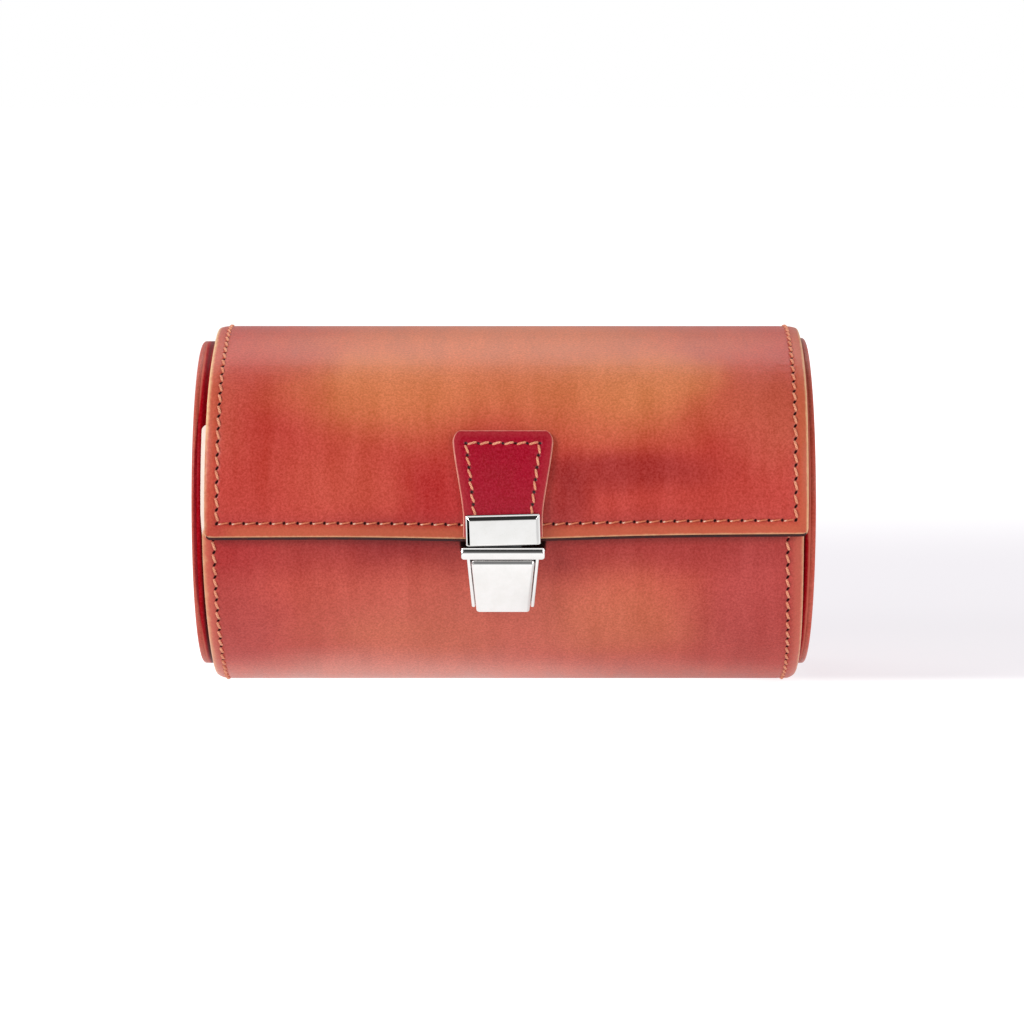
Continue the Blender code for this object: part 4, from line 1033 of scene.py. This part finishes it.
def make_flap_sheet():
    """Flap, from its sewn front edge up over the top to the fold behind, as one sheet on a grid."""
    rows = round((FLAP_LENGTH - FRONT_INSET) / PITCH)
    side_pitch = (FLAP_LENGTH - FRONT_INSET) / rows
    sewn_half = HALF_LENGTH - SIDE_INSET
    front_count = round(2 * sewn_half / PITCH)
    front_pitch = 2 * sewn_half / front_count
    up_sides = row_samples(FRONT_INSET, side_pitch, rows, SIDE_PHASES)
    s = sorted_places(edge_samples(FRONT_INSET), up_sides, last=FLAP_LENGTH)
    ends = HALF_LENGTH - edge_samples(SIDE_INSET)
    x = sorted_places(-ends, ends, row_samples(-sewn_half, front_pitch, front_count, FRONT_PHASES))
    x[0], x[-1] = -HALF_LENGTH, HALF_LENGTH
    s, x = np.meshgrid(s, x, indexing="ij")
    beside = np.where(x < 0, x + sewn_half, x - sewn_half)
    side_depth, side_hole = sewn(beside, (s - FRONT_INSET) / side_pitch, side_pitch, HOLE_LEAN)
    front_depth, front_hole = sewn(s - FRONT_INSET, (x + sewn_half) / front_pitch, front_pitch)
    on_side = s > FRONT_INSET - ROW_MARGIN
    on_front = np.abs(x) < sewn_half + ROW_MARGIN
    depth = np.maximum(side_depth * on_side, front_depth * on_front)
    hole = np.maximum(side_hole * on_side, front_hole * on_front)
    x_gap, s_gap, gap = corner_warp(HALF_LENGTH - np.abs(x), s, FLAP_CORNER)
    placed = np.sign(x) * (HALF_LENGTH - x_gap)
    angle = flap_angle(placed, s_gap)
    roll = FLAP_ROLL * rolled_drop(HALF_LENGTH - np.abs(placed))
    fall = rounded_drop(gap) + roll + depth
    top = flap_radius(angle)
    shifted = placed + flap_shift(angle)
    outer = on_barrel(shifted, angle, top - fall)
    under = FLAP_UNDERCUT * np.clip(1 - s_gap / FLAP_UNDERCUT_REACH, 0, 1)
    inner = on_barrel(shifted, angle - np.degrees(under / RADIUS), top - roll - skived(gap))
    points, faces, parts = slab(outer, inner)
    # How pale each cut edge gets, set per side and less low on the flap's left: the fibre's own colour partly
    # raised as a painted highlight of the key light
    palest = np.where(x < 0, 0.5 + 0.5 * smoothstep(angle, *FLAP_CUT_RISE), 0.95)
    cut = palest * (1 - x_gap / np.where(x < 0, *FLAP_CUT))
    cut = np.maximum(cut, 0.75 - s_gap / FRONT_CUT)
    marks = sheet_marks(points, gap, cut, hole)
    # The front rim takes the painted shade beneath the flap's edge
    finishes = ["flap_patina", "raw", "hinged_suede", "front_edge_shade"]
    item = build("flap_sheet", points, faces, finishes, None, parts, marks)
    hinge_blend(item)
    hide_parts("flap_leather")
    threads = []
    for end in (-1, 1):
        turn = flap_angle(end * sewn_half, FRONT_INSET + side_pitch * np.arange(rows + 1))
        place = end * sewn_half + flap_shift(turn)
        base = flap_radius(turn) - FLAP_ROLL * rolled_drop(np.array(SIDE_INSET))
        threads.append(stitch_row(on_barrel(place, turn, base), turn, -THREAD_SLANT))
    across = np.linspace(-sewn_half, sewn_half, front_count + 1)
    turn = flap_angle(across, FRONT_INSET)
    row = on_barrel(across + flap_shift(turn), turn, flap_radius(turn))
    threads.append(stitch_row(row, turn, -FRONT_SLANT, FRONT_THREAD_SIZE, FRONT_THREAD_START))
    thread = make_thread_piece("flap_thread", threads, [0, 0, 1], None)
    hinge_blend(thread)


def hinge_blend(item):
    """Bakes a piece's placement into its mesh; it finds the fold's start and end on the barrel but does not
    bend the piece.
    """
    start = on_barrel(0.0, FOLD_ANGLE, RADIUS)
    end = on_barrel(0.0, FOLD_END_ANGLE, RADIUS)
    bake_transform(item)


def barrel_shift(x, angle):
    """Sideways set of the wrap: none at the fold, most beneath and at its right row, left at the lip."""
    beneath = smoothstep(angle, *BARREL_SHIFT_RISE) - smoothstep(angle, *BARREL_SHIFT_FADE)
    places = (RIGHT_ROW_START, HALF_LENGTH - BARREL_INSETS[1], HALF_LENGTH)
    right_row = np.interp(x, places, (1.0, RIGHT_ROW_SHARE, 1.0))
    return BARREL_SHIFT * beneath * right_row + LIP_SHIFT * smoothstep(angle, *LIP_SHIFT_RISE)


def make_barrel_sheet():
    """Wrap of the barrel, from the fold behind round below to the front lip, flat at its foot."""
    length = RADIUS * math.radians(LIP_ANGLE - FOLD_ANGLE)
    count = round(length / PITCH)
    pitch = length / count
    left_row, right_row = HALF_LENGTH - np.array(BARREL_INSETS)
    lip = length - edge_samples(FRONT_INSET)
    s = sorted_places(row_samples(0.0, pitch, count, SIDE_PHASES), lip, last=length)
    s[0] = 0.0
    left_end, right_end = (HALF_LENGTH - edge_samples(inset) for inset in BARREL_INSETS)
    x = sorted_places(-left_end, right_end, np.linspace(-left_row, right_row, 58), NEAR_LOCK)
    x[0], x[-1] = -HALF_LENGTH, HALF_LENGTH
    s, x = np.meshgrid(s, x, indexing="ij")
    depth, hole = sewn(np.where(x < 0, x + left_row, x - right_row), s / pitch, pitch, HOLE_LEAN)
    x_gap, s_gap, gap = corner_warp(HALF_LENGTH - np.abs(x), length - s, FLAP_CORNER)
    placed = np.sign(x) * (HALF_LENGTH - x_gap)
    angle = FOLD_ANGLE + np.degrees((length - s_gap) / RADIUS)
    roll = rolled_drop(HALF_LENGTH - np.abs(placed))
    shifted = placed + barrel_shift(placed, angle)
    outer = on_barrel(shifted, angle, RADIUS - rounded_drop(gap) - roll - depth)
    outer[..., 2] = np.maximum(outer[..., 2], 0.0)
    inner = on_barrel(shifted, angle, RADIUS - roll - skived(gap))
    # Painted shade behind the lock's gap, laid into the hole mark so that it takes the holes' dark colour
    stain = smoothstep(angle, *LOCK_SHADE_START) * (1 - smoothstep(angle, *LOCK_SHADE_END))
    hole = np.maximum(hole, stain * (1 - smoothstep(np.abs(x), *LOCK_SHADE_HALF)))
    # The lip's cut ends show wider and paler: a painted highlight of the key light on the edge's own pale
    # fibre
    lip_end = smoothstep(angle, *LIP_END)
    cut = (1 - x_gap / (np.where(x < 0, *WRAP_CUT) + LIP_CUT * lip_end)) * (0.6 + lip_end)
    points, faces, parts = slab(outer, inner)
    marks = sheet_marks(points, gap, cut, hole)
    finishes = ["wrap_patina", "raw", "hinged_suede", "raw"]
    item = build("barrel_wrap", points, faces, finishes, "case", parts, marks)
    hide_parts("body_leather")
    turn = FOLD_ANGLE + np.degrees(pitch * np.arange(count) / RADIUS)
    threads = []
    for place, inset in zip((-left_row, right_row), BARREL_INSETS):
        row = on_barrel(place + barrel_shift(place, turn), turn, RADIUS - rolled_drop(np.array(inset)))
        row[:, 2] = np.maximum(row[:, 2], FOOT_CLEAR)
        threads.append(stitch_row(row, turn, -THREAD_SLANT))
    lip_count = round((left_row + right_row) / PITCH)
    across = np.linspace(-left_row, right_row, lip_count + 1)
    lip_turn = np.full_like(across, LIP_ANGLE - math.degrees(FRONT_INSET / RADIUS))
    row = on_barrel(across + barrel_shift(across, lip_turn), lip_turn, RADIUS)
    threads.append(stitch_row(row, lip_turn, LIP_SLANT, LIP_THREAD_SIZE, FRONT_THREAD_START))
    make_thread_piece("barrel_thread", threads, [0, 0, 1], "case")


def stitch_row(holes, angle, slant, size=1.0, start_gap=THREAD_START):
    """Stitches between successive holes: tubes that rise from one hole and sink into the next.

    Each centreline runs straight and slanted between its holes and follows a flattened half sine in height.
    """
    turn = np.radians(angle)
    normal = np.stack([np.zeros_like(turn), -np.cos(turn), np.sin(turn)], axis=-1)
    along = unit(holes[1:] - holes[:-1])
    up = unit(normal[1:] + normal[:-1])
    side = np.cross(up, along)
    start = holes[:-1] + along * start_gap + side * slant
    end = holes[1:] - along * start_gap - side * slant
    steps = np.array([0.0, 0.1, 0.28, 0.5, 0.72, 0.9, 1.0])
    lift = np.sin(np.pi * steps) ** 0.5 * (THREAD_RISE + THREAD_SINK) * size - THREAD_SINK
    width = THREAD_RADIUS * size * np.array([0.75, 0.95, 1.0, 1.0, 1.0, 0.95, 0.75])
    middle = start[:, None] + (end - start)[:, None] * steps[:, None] + up[:, None] * lift[:, None]
    around = np.linspace(0, 2 * np.pi, 7)[:-1]
    spoke = side[:, None] * np.cos(around)[:, None] + up[:, None] * np.sin(around)[:, None]
    return middle[:, :, None] + spoke[:, None] * width[:, None, None]


def make_thread_piece(name, rows, tight, body):
    """One piece of thread from several rows of stitches, with a UV that follows the twist.

    tight marks each row's stitches as drawn down hard (1) or not (0); drawn-down stitches take the painted
    highlight and shade.
    """
    tubes = np.concatenate(rows)
    count, steps, sides = tubes.shape[:3]
    number = np.arange(count * steps * sides).reshape(count, steps, sides)
    caps = np.concatenate([number[:, 0], number[:, -1]])
    faces = ring_cells(number).tolist() + caps.tolist()
    points = tubes.reshape(-1, 3)
    pull = np.repeat(tight, [row[..., 0].size for row in rows])
    marks = {"hide": points, "tight": pull}
    item = build(name, points, faces, ["thread"], body, None, marks)
    step, side = np.meshgrid(np.arange(steps), np.arange(sides), indexing="ij")
    twist = np.stack([step * 0.6, side * 2.0 / sides], axis=-1).reshape(-1, 2)
    corner = np.zeros(len(item.data.loops), np.int32)
    item.data.loops.foreach_get("vertex_index", corner)
    layer = item.data.uv_layers.new(name="ply")
    layer.data.foreach_set("uv", twist[corner % (steps * sides)].astype(np.float32).ravel())
    return item


def make_tab():
    """Crimson tab: rows across a trapezium whose top corners are elliptical, curved over the flap."""
    length = TAB_OUTER * math.radians(TAB_TOP_ANGLE - FLAP_EDGE_ANGLE)
    side_inset, top_inset = TAB_INSETS
    s = sorted_places(edge_samples(top_inset), np.linspace(0, length, 70), last=length)
    share = np.unique(np.clip(edge_samples(side_inset) / TAB_TOP_HALF, 0, 1))
    share = np.concatenate([share, np.linspace(share[-1], 1, 16)[1:]])
    share = np.concatenate([share - 1, 1 - share[-2::-1]])
    s, share = np.meshgrid(s, share, indexing="ij")
    corner_x, corner_s = TAB_CORNER
    down = np.clip((s - corner_s) / (TAB_TAPER * length - corner_s), 0, 1)
    taper = TAB_STRAIGHT * down + (1 - TAB_STRAIGHT) * smoothstep(down, 0, 1)
    half = TAB_TOP_HALF + (TAB_FOOT_HALF - TAB_TOP_HALF) * taper
    half = half - corner_x * (1 - np.sqrt(1 - np.clip(1 - s / corner_s, 0, 1) ** 2))
    x = share * half
    gap = np.minimum(half - np.abs(x), np.minimum(s, length - s + 0.3 * MM))
    angle = TAB_TOP_ANGLE - np.degrees(s / TAB_OUTER)
    holes = tab_holes()
    flat = np.stack([x, np.radians(angle) * TAB_OUTER], axis=-1)
    spots = np.stack([holes[:, 0], np.radians(holes[:, 1]) * TAB_OUTER], axis=-1)
    far = np.min(np.linalg.norm(flat[:, :, None] - spots, axis=-1), axis=-1)
    hole = np.exp(-(far / HOLE_RADIUS) ** 2)
    outer = on_barrel(x, angle, TAB_OUTER - rounded_drop(gap) - TAB_HOLE_DEPTH * hole)
    inner = on_barrel(x, angle, TAB_OUTER - TAB_THICKNESS)
    points, faces, parts = slab(outer, inner, TAB_BULGE)
    marks = sheet_marks(points, gap, 1 - gap / TAB_CUT, hole)
    finishes = ["tab", "raw", "hinged_suede", "raw"]
    item = build("tab_leather", points, faces, finishes, "flap", parts, marks)
    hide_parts("lock_tab")
    runs = []
    count = round(2 * TAB_STITCH[0] / TAB_PITCH)
    side = (len(holes) - count - 1) // 2
    for first, last in ((0, side), (side, side + count), (side + count, len(holes) - 1)):
        x, turn = holes[first:last + 1].T
        row = on_barrel(x, turn, TAB_OUTER)
        runs.append(stitch_row(row, turn, -THREAD_SLANT, TAB_THREAD_SIZE, FRONT_THREAD_START))
    make_thread_piece("tab_thread", runs, [0] * len(runs), "flap")


def tab_holes():
    """Needle holes of the tab, up its left side, across its top and down its right side: (x, angle)."""
    top_half, top_angle, foot_half, foot_angle = TAB_STITCH
    climb = TAB_OUTER * math.radians(top_angle - foot_angle)
    share = np.linspace(0, 1, round(climb / TAB_PITCH) + 1)
    side_x = foot_half + (top_half - foot_half) * share
    side_angle = foot_angle + (top_angle - foot_angle) * share
    across = np.linspace(-top_half, top_half, round(2 * top_half / TAB_PITCH) + 1)[1:-1]
    left = np.stack([-side_x, side_angle], axis=-1)
    top = np.stack([across, np.full_like(across, top_angle)], axis=-1)
    right = np.stack([side_x, side_angle], axis=-1)[::-1]
    return np.concatenate([left, top, right])


# Linings and the brush band


def make_linings():
    """Suede inside the barrel, under the flap, and over the fold between them."""
    x = sorted_places(LINING_HALF - MM * np.array([0.0, 0.1, 0.3, 0.7]), np.linspace(0, LINING_HALF, 24))
    x = np.concatenate([-x[:0:-1], x])
    lip = [RADIUS - LEATHER - 0.1 * MM, LINING_INNER + 0.05 * MM]
    barrel_turn = np.linspace(HINGE_ANGLE + LINING_SPLIT, LIP_ANGLE, 132)
    flap_turn = np.linspace(HINGE_ANGLE - LINING_SPLIT, FLAP_EDGE_ANGLE + 1.0, 110)
    raised = RADIUS + FLAP_LIFT - LEATHER - 0.3 * MM
    under_flap = LINING_OUTER + (raised - LINING_OUTER) * (1 - smoothstep(flap_turn, *LINING_EASE))
    for name, node, body, way, turn, radius in (
        ("barrel_suede", "body_lining", "case", 1, barrel_turn, np.full_like(barrel_turn, LINING_OUTER)),
        ("flap_suede", "flap_lining", "flap", -1, flap_turn, under_flap),
    ):
        sheets = []
        for drop, lip_angle in zip((0.0, LINING_OUTER - LINING_INNER), LINING_LIPS):
            angle = np.concatenate([[HINGE_ANGLE + way * lip_angle] * 2, turn])
            sheets.append(across_barrel(x, angle, np.concatenate([lip, radius - drop])))
        points, faces, _ = slab(*sheets, 0.0, 3)
        item = build(name, points, faces, ["suede"], body)
        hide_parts(node)

    angle = np.linspace(HINGE_ANGLE + FOLD_REACH, HINGE_ANGLE - FOLD_REACH, 40)
    inside = PLUG_IN - 0.6 * MM
    x = np.linspace(-inside, inside, 60)
    fold = [across_barrel(x, angle, LINING_INNER - drop) for drop in FOLD_DEPTHS]
    points, faces, _ = slab(*fold, 0.1 * MM, 3)
    marks = {"hide": points}
    item = build("fold_suede", points, faces, ["hinged_suede"], None, None, marks)
    hinge_blend(item)


def make_brush_loops():
    """Band whose loops rise as half ellipses between sewn seams, carried across its width."""
    turn = np.linspace(0, np.pi, 25)
    first = LOOP_SEAM + np.arange(LOOP_COUNT)[:, None] * (LOOP_SPAN + LOOP_SEAM)
    place = (first + LOOP_SPAN * (1 - np.cos(turn)) / 2).ravel()
    rise = np.tile(LOOP_HEIGHT * np.sin(turn), LOOP_COUNT)
    whole = LOOP_COUNT * LOOP_SPAN + (LOOP_COUNT + 1) * LOOP_SEAM
    place = np.concatenate([[0.0, LOOP_SEAM / 2], place, [whole - LOOP_SEAM / 2, whole]])
    rise = np.concatenate([[0, 0], rise, [0, 0]])
    angle = 270 + np.degrees((place - whole / 2) / BAND_RADIUS)
    x = BAND_HALF - MM * np.array([0.0, 0.1, 0.3, 0.8, 2.0, 4.0, 6.0])
    x = np.concatenate([-x, x[::-1]])
    drop = rounded_drop(BAND_HALF - np.abs(x)) * 0.6
    wall = across_barrel(x, angle, BAND_RADIUS - rise)
    face = (BAND_RADIUS - rise - LOOP_THICKNESS)[:, None] + drop[None]
    points, faces, _ = slab(on_barrel(x[None], angle[:, None], face), wall, 0.08 * MM, 3)
    item = build("brush_loops", points, faces, ["band"], "case")
    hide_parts("brush_band")


# Round ends


def cover_profile(radius):
    """Half section of a cover: a slightly dished face with a pressed ring, and a rounded rim."""
    crease = radius - COVER_CREASE
    face = [(0.35, 0.0), (0.33, 12 * MM), (0.25, 26 * MM), (0.12, 36 * MM)]
    groove = [(0.06, -0.7), (0.12, -0.35), (0.32, 0.0), (0.12, 0.35), (0.02, 0.7)]
    face += [(depth, crease + away * MM) for depth, away in groove]
    face = [(END_HIGH.x - depth * MM, place) for depth, place in face]
    turn = np.radians(np.linspace(90, 0, 8))
    rim = np.stack([END_HIGH.x - COVER_ROUND + COVER_ROUND * np.sin(turn),
                    radius - COVER_ROUND + COVER_ROUND * np.cos(turn)], axis=-1)
    back = [(COVER_IN + 0.02 * MM, radius), (COVER_IN, radius - 0.02 * MM), (COVER_IN, 0.0)]
    return np.concatenate([face, rim, back])


def collar_profile(radius):
    """Section of a collar, wider where it stands out of the wrap."""
    return [
        (COVER_IN, COLLAR_INNER), (COVER_IN, radius - 0.02 * MM), (COVER_IN - 0.02 * MM, radius),
        (COLLAR_STAND, radius), (COLLAR_STAND - 0.2 * MM, END_RADIUS), (PLUG_IN + COLLAR_SOFT, END_RADIUS),
        (PLUG_IN, END_RADIUS - COLLAR_SOFT), (PLUG_IN, COLLAR_INNER), (COVER_IN, COLLAR_INNER),
    ]


def make_ends():
    """Cover, collar and inner disc of both ends, turned about the barrel's axis."""
    turns = np.linspace(0, 360, 181)[:-1]
    lining = [(PLUG_IN + 0.7 * MM, 0.0), (PLUG_IN + 0.7 * MM, END_DISC), (PLUG_IN + 0.15 * MM, END_DISC),
              (PLUG_IN, END_DISC - 0.2 * MM), (PLUG_IN, 30 * MM), (PLUG_IN, 0.0)]
    for name, side, rise, step in (("left", -1, 0.0, 0.0), ("right", 1, RIGHT_COVER_RISE, RIGHT_COVER_STEP)):
        radius = END_RADIUS + rise
        for piece, profile, look, slot, node in (
            ("cover", cover_profile(radius), "coral", "coral_leather", "end_cover"),
            ("collar", collar_profile(radius), "crimson", "crimson_leather", "end_collar"),
            ("inner_suede", lining, "suede", "suede_lining", "end_lining"),
        ):
            points, faces = turned(profile, side, turns)
            clear = smoothstep(np.abs(points[..., 0]), COLLAR_STAND - 0.2 * MM, COLLAR_STAND)
            points[..., 2] += rise * clear
            points[..., 0] += step * clear
            item = build(f"{name}_{piece}", points, faces, [look], "case", weld=True)
            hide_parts(f"{name}_{node}")


# Tuck lock, whose outlines and profiles are in millimetres


def plate_solid(corners, radius, profile, angle=LOCK_ANGLE, centre=RADIUS, tilt=0.0, foot=0.0, top=0.0):
    """Outline carried through a profile of (inset, out) steps on a plate of the barrel, turned by a tilt.

    foot and top draw those two edges in by a further share of each inset.
    """
    cos, sin = math.cos(math.radians(tilt)), math.sin(math.radians(tilt))
    further = np.array([(0, foot), (0, foot), (0, -top), (0, -top)])
    loops = []
    for inset, out in profile:
        x, up = outline((np.asarray(corners) + inset * further) * MM, inset * MM, radius * MM).T
        loops.append(on_plate(angle, centre, x * cos - up * sin, x * sin + up * cos, out * MM))
    return loft(np.array(loops))


def box_corners(half_width, low, high):
    """Corners of an upright rectangle, counter-clockwise."""
    return [(-half_width, low), (half_width, low), (half_width, high), (-half_width, high)]


def lock_half(up):
    """Half width of the lock, which grows evenly from its foot to its top."""
    foot_half, top_half = LOCK_HALF
    return foot_half + (top_half - foot_half) * (up - LOCK_FOOT) / (LOCK_TOP - LOCK_FOOT)


def chrome_piece(name, solids, body):
    """One chrome piece of several solids."""
    points, faces = joined(solids)
    return build(name, points, faces, ["chrome"], body, sharp=METAL_SHARP)


def make_hasp():
    """Chrome hasp: a bevelled plate on the tab with a raised face, and a hood below the flap's edge."""
    half_width, half_height = HASP_HALF
    where = {"angle": HASP_ANGLE, "centre": TAB_OUTER, "tilt": HASP_TILT}
    profile = [(0.15, -0.25), (0.0, -0.1), (0.0, 0.95), (0.04, 1.07), (0.1, 1.15), (0.15, 1.18), (0.2, 1.186),
               (0.46, 1.19), (1.06, 1.79), (1.1, 1.825), (1.16, 1.85), (1.24, 1.862), (2.2, 1.866)]
    plate = box_corners(half_width, -half_height, HASP_TOP)
    hood = box_corners(half_width, -half_height, HOOD_TOP)
    hood_profile = [(0.3, -2.2), (0.1, -2.1), (0.02, -1.9), (0.02, 0.4)]
    solids = [plate_solid(plate, 0.75, profile, foot=-0.75, top=0.3, **where),
              plate_solid(hood, 0.4, hood_profile, **where)]
    item = chrome_piece("hasp_plate", solids, "flap")
    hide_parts("hasp_cap")


def make_lock_frame():
    """Chrome frame: slotted flange, two tapered rails and a low foot bar."""
    rail = [(0.1, -0.75), (0.0, -0.6), (0.0, 3.0), (0.05, 3.17), (0.15, 3.28), (0.3, 3.33)]
    foot, top = lock_half(LOCK_FOOT), lock_half(LOCK_TOP)
    rail_top = LOCK_TOP + RAIL_OVER
    right = [(top, rail_top), (top - RAIL_WIDTH, rail_top),
             (foot - RAIL_WIDTH, LOCK_FOOT), (foot, LOCK_FOOT)]
    left = [(-foot, LOCK_FOOT), (RAIL_WIDTH - foot, LOCK_FOOT),
            (RAIL_WIDTH - top, rail_top), (-top, rail_top)]
    bar = box_corners(foot - BAR_INSET, LOCK_FOOT + BAR_RISE[0], LOCK_FOOT + BAR_RISE[1])
    solids = [plate_solid(left, 0.5, rail), plate_solid(right, 0.5, rail),
              plate_solid(bar, 0.2, [(0.05, -0.7), (0.0, -0.6), (0.0, 1.9), (0.15, 2.05)]),
              flange_block(), flange_plate()]
    item = chrome_piece("lock_frame", solids, "case")
    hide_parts("lock_case")


def flange_block():
    """Block behind the flange's front plate, pierced by the tongue's slot."""
    low, high = LOCK_TOP, FLANGE_TOP
    block = box_corners(*FLANGE_BLOCK)
    slot = box_corners(*FLANGE_SLOT)
    rows = [(slot, 0.0, low + 0.1), (block, 0.25, low + 0.1), (block, 0.0, low + 0.3),
            (block, 0.0, high - 0.2), (block, 0.06, high - 0.06), (block, 0.2, high),
            (slot, -0.12, high), (slot, 0.0, high - 0.12)]
    loops = []
    for corners, inset, up in rows:
        radius = 0.7 if corners is block else 0.3
        x, out = outline(np.array(corners) * MM, inset * MM, radius * MM).T
        loops.append(on_plate(LOCK_ANGLE, RADIUS, x, np.full_like(x, up * MM), out))
    return ring(np.array(loops))


def flange_plate():
    """Front plate of the flange: a rounded bar whose upper edge is cut back in a wide bevel."""
    rows = [(0.25, 10.45, 4.5), (0.06, 10.7, 4.5), (0.0, 10.78, 4.54), (0.0, 10.78, 4.58), (0.0, 10.72, 4.62),
            (0.0, 10.38, 4.64), (0.0, 9.82, 5.14), (0.02, 9.68, 5.22), (0.08, 9.58, 5.3), (0.2, 9.56, 5.33),
            (0.4, 9.5, 5.36)]
    loops = []
    for inset, top, out in rows:
        corners = np.array(box_corners(FLANGE_HALF, LOCK_TOP, top)) * MM
        x, up = outline(corners, inset * MM, 0.8 * MM).T
        loops.append(on_plate(LOCK_ANGLE, RADIUS, x, up, out * MM))
    return loft(np.array(loops))


def make_button():
    """Chrome press button: a tapered plate with a wide bevel round a faintly crowned face."""
    foot = lock_half(BUTTON_FOOT) - BUTTON_INSET
    top = lock_half(BUTTON_TOP) - BUTTON_INSET
    plate = [(-foot, BUTTON_FOOT), (foot, BUTTON_FOOT), (top, BUTTON_TOP), (-top, BUTTON_TOP)]
    profile = [(0.4, 3.64), (0.1, 3.7), (0.0, 3.85), (0.0, 4.3), (0.04, 4.42), (0.12, 4.5),
               (0.5, 4.86), (0.6, 4.93), (0.75, 4.98), (1.0, 5.01), (3.0, 5.05)]
    solids = [plate_solid(plate, 0.9, profile, foot=-0.4, top=0.6)]
    for side in (-1, 1):
        ear = np.array(box_corners(*BUTTON_EAR)) + (side * BUTTON_EAR_PLACE, 0)
        ear = np.roll(ear, side - 1, axis=0)
        solids.append(plate_solid(ear, 0.2, [(0.1, 1.3), (0.0, 1.4), (0.0, 4.0)]))
    post = box_corners(*BUTTON_POST)
    solids.append(plate_solid(post, 0.2, [(0.1, 1.85), (0.0, 2.0), (0.0, 4.0)]))
    item = chrome_piece("press_button", solids, "button")
    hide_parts("lock_button")


def dress_kept_nodes():
    """Finishes of the frame's own solids that stay in view."""
    for node, item in frame["nodes"].items():
        if item.hide_render:
            continue
        look = "board" if node.endswith(("core", "board")) else "steel"
        # The tongue is painted near black as the shade in the gap between the hasp and the flange
        look = "tongue_shade_steel" if node == "hasp_tongue" else look
        item.data.materials.clear()
        item.data.materials.append(FINISH[look])


# Stage, light and camera


def make_floor():
    """Plain pale floor that glows as an overlit sweep does, less to the right, where the shadow falls.

    Mirrors see it dark at both sides, as they would the room beside a narrow sweep.
    """
    made, nodes = material("pale_floor", Roughness=1.0, Specular_IOR_Level=0.0, Emission_Strength=1.0)
    x, y, _ = nodes.split(nodes.place())
    across = nodes.times(nodes.ease(x, 0.05, 0.092), nodes.ease(x, 0.25, 1.2, 1.0, 0.0))
    near = nodes.times(nodes.ease(y, -0.025, 0.0), nodes.ease(y, 0.0, 0.2, 0.9, 1.0))
    behind = nodes.times(near, nodes.ease(y, 0.22, 0.62, 1.0, 0.0))
    glow = nodes.mix(nodes.times(across, behind), FLOOR_WHITE, FLOOR_SHADOW)
    left = nodes.maths("MAXIMUM", nodes.ease(x, -0.17, -0.09), nodes.ease(y, -0.28, -0.16, 1.0, 0.0))
    right_room = nodes.ease(x, 0.16, 0.3, 0.9, 0.5)
    front_room = nodes.ease(y, -0.4, -0.15, 0.72, 0.9)
    before = nodes.ease(y, -0.09, -0.05, 0.9, 0.0)
    under_room = nodes.maths("MAXIMUM", nodes.ease(x, -0.01, 0.05, 0.9, 0.6), before)
    room = nodes.times(left, 0.9)
    for side in (right_room, front_room, under_room):
        room = nodes.maths("MINIMUM", room, side)
    path = nodes.add("ShaderNodeLightPath").outputs
    lit = nodes.mix(path["Is Camera Ray"], FLOOR_BOUNCE, glow)
    seen = nodes.mix(path["Is Glossy Ray"], lit, nodes.grey(room))
    finish(made, nodes, {"Base Color": nodes.grey(nodes.times(left, 0.3)), "Emission Color": seen})
    mesh = bpy.data.meshes.new("floor")
    corners = box_corners(FLOOR_REACH, -FLOOR_REACH, FLOOR_REACH)
    mesh.from_pydata([(*corner, FLOOR_DEPTH) for corner in corners], [], [(0, 1, 2, 3)])
    mesh.materials.append(made)
    item = add_object("floor", mesh)


def make_world():
    """White to the camera; to the object a grey room, dark overhead and in front above the horizon."""
    world = bpy.data.worlds.new("studio")
    world.use_nodes = True
    bpy.context.scene.world = world
    world.node_tree.nodes.clear()
    nodes = Nodes(world.node_tree)
    _, y, z = nodes.split(nodes.add("ShaderNodeTexCoord").outputs["Generated"])
    shade = nodes.ease(nodes.minus(z, nodes.times(y, 0.5)), 0.3, 1.1, 0.55, 0.03)
    room = nodes.add("ShaderNodeBackground", {"Color": nodes.grey(shade), "Strength": 1.0}).outputs[0]
    seen = nodes.add("ShaderNodeBackground", {"Color": (1, 1, 1, 1), "Strength": 1.0}).outputs[0]
    camera_ray = nodes.add("ShaderNodeLightPath").outputs["Is Camera Ray"]
    both = nodes.add("ShaderNodeMixShader", {0: camera_ray, 1: room, 2: seen}).outputs[0]
    nodes.add("ShaderNodeOutputWorld", {"Surface": both})


def make_softbox(name, place, size, power):
    """Rectangular light that faces the barrel."""
    lamp = bpy.data.lights.new(name, "AREA")
    lamp.shape = "RECTANGLE"
    lamp.size, lamp.size_y = size
    lamp.energy = power
    item = add_object(name, lamp)
    item.location = place
    item.rotation_euler = (Vector((0, 0, AXIS_Z)) - Vector(place)).to_track_quat("-Z", "Y").to_euler()


def make_camera():
    """Long lens a little above the barrel, at the photograph's angle and framing."""
    back = Vector((0, -math.cos(CAMERA_ELEVATION), math.sin(CAMERA_ELEVATION)))
    lens = bpy.data.cameras.new("camera")
    lens.lens = CAMERA_LENS
    lens.sensor_width = CAMERA_SENSOR
    item = add_object("camera", lens)
    item.location = CAMERA_AIM + back * CAMERA_DISTANCE
    item.rotation_euler = (-back).to_track_quat("-Z", "Y").to_euler()
    bpy.context.scene.camera = item


make_flap_sheet()
make_barrel_sheet()
make_tab()
make_linings()
make_brush_loops()
make_ends()
make_hasp()
make_lock_frame()
make_button()
dress_kept_nodes()
make_floor()
make_world()
for softbox in SOFTBOXES:
    make_softbox(*softbox)
make_camera()
bpy.context.scene.view_settings.view_transform = "Standard"
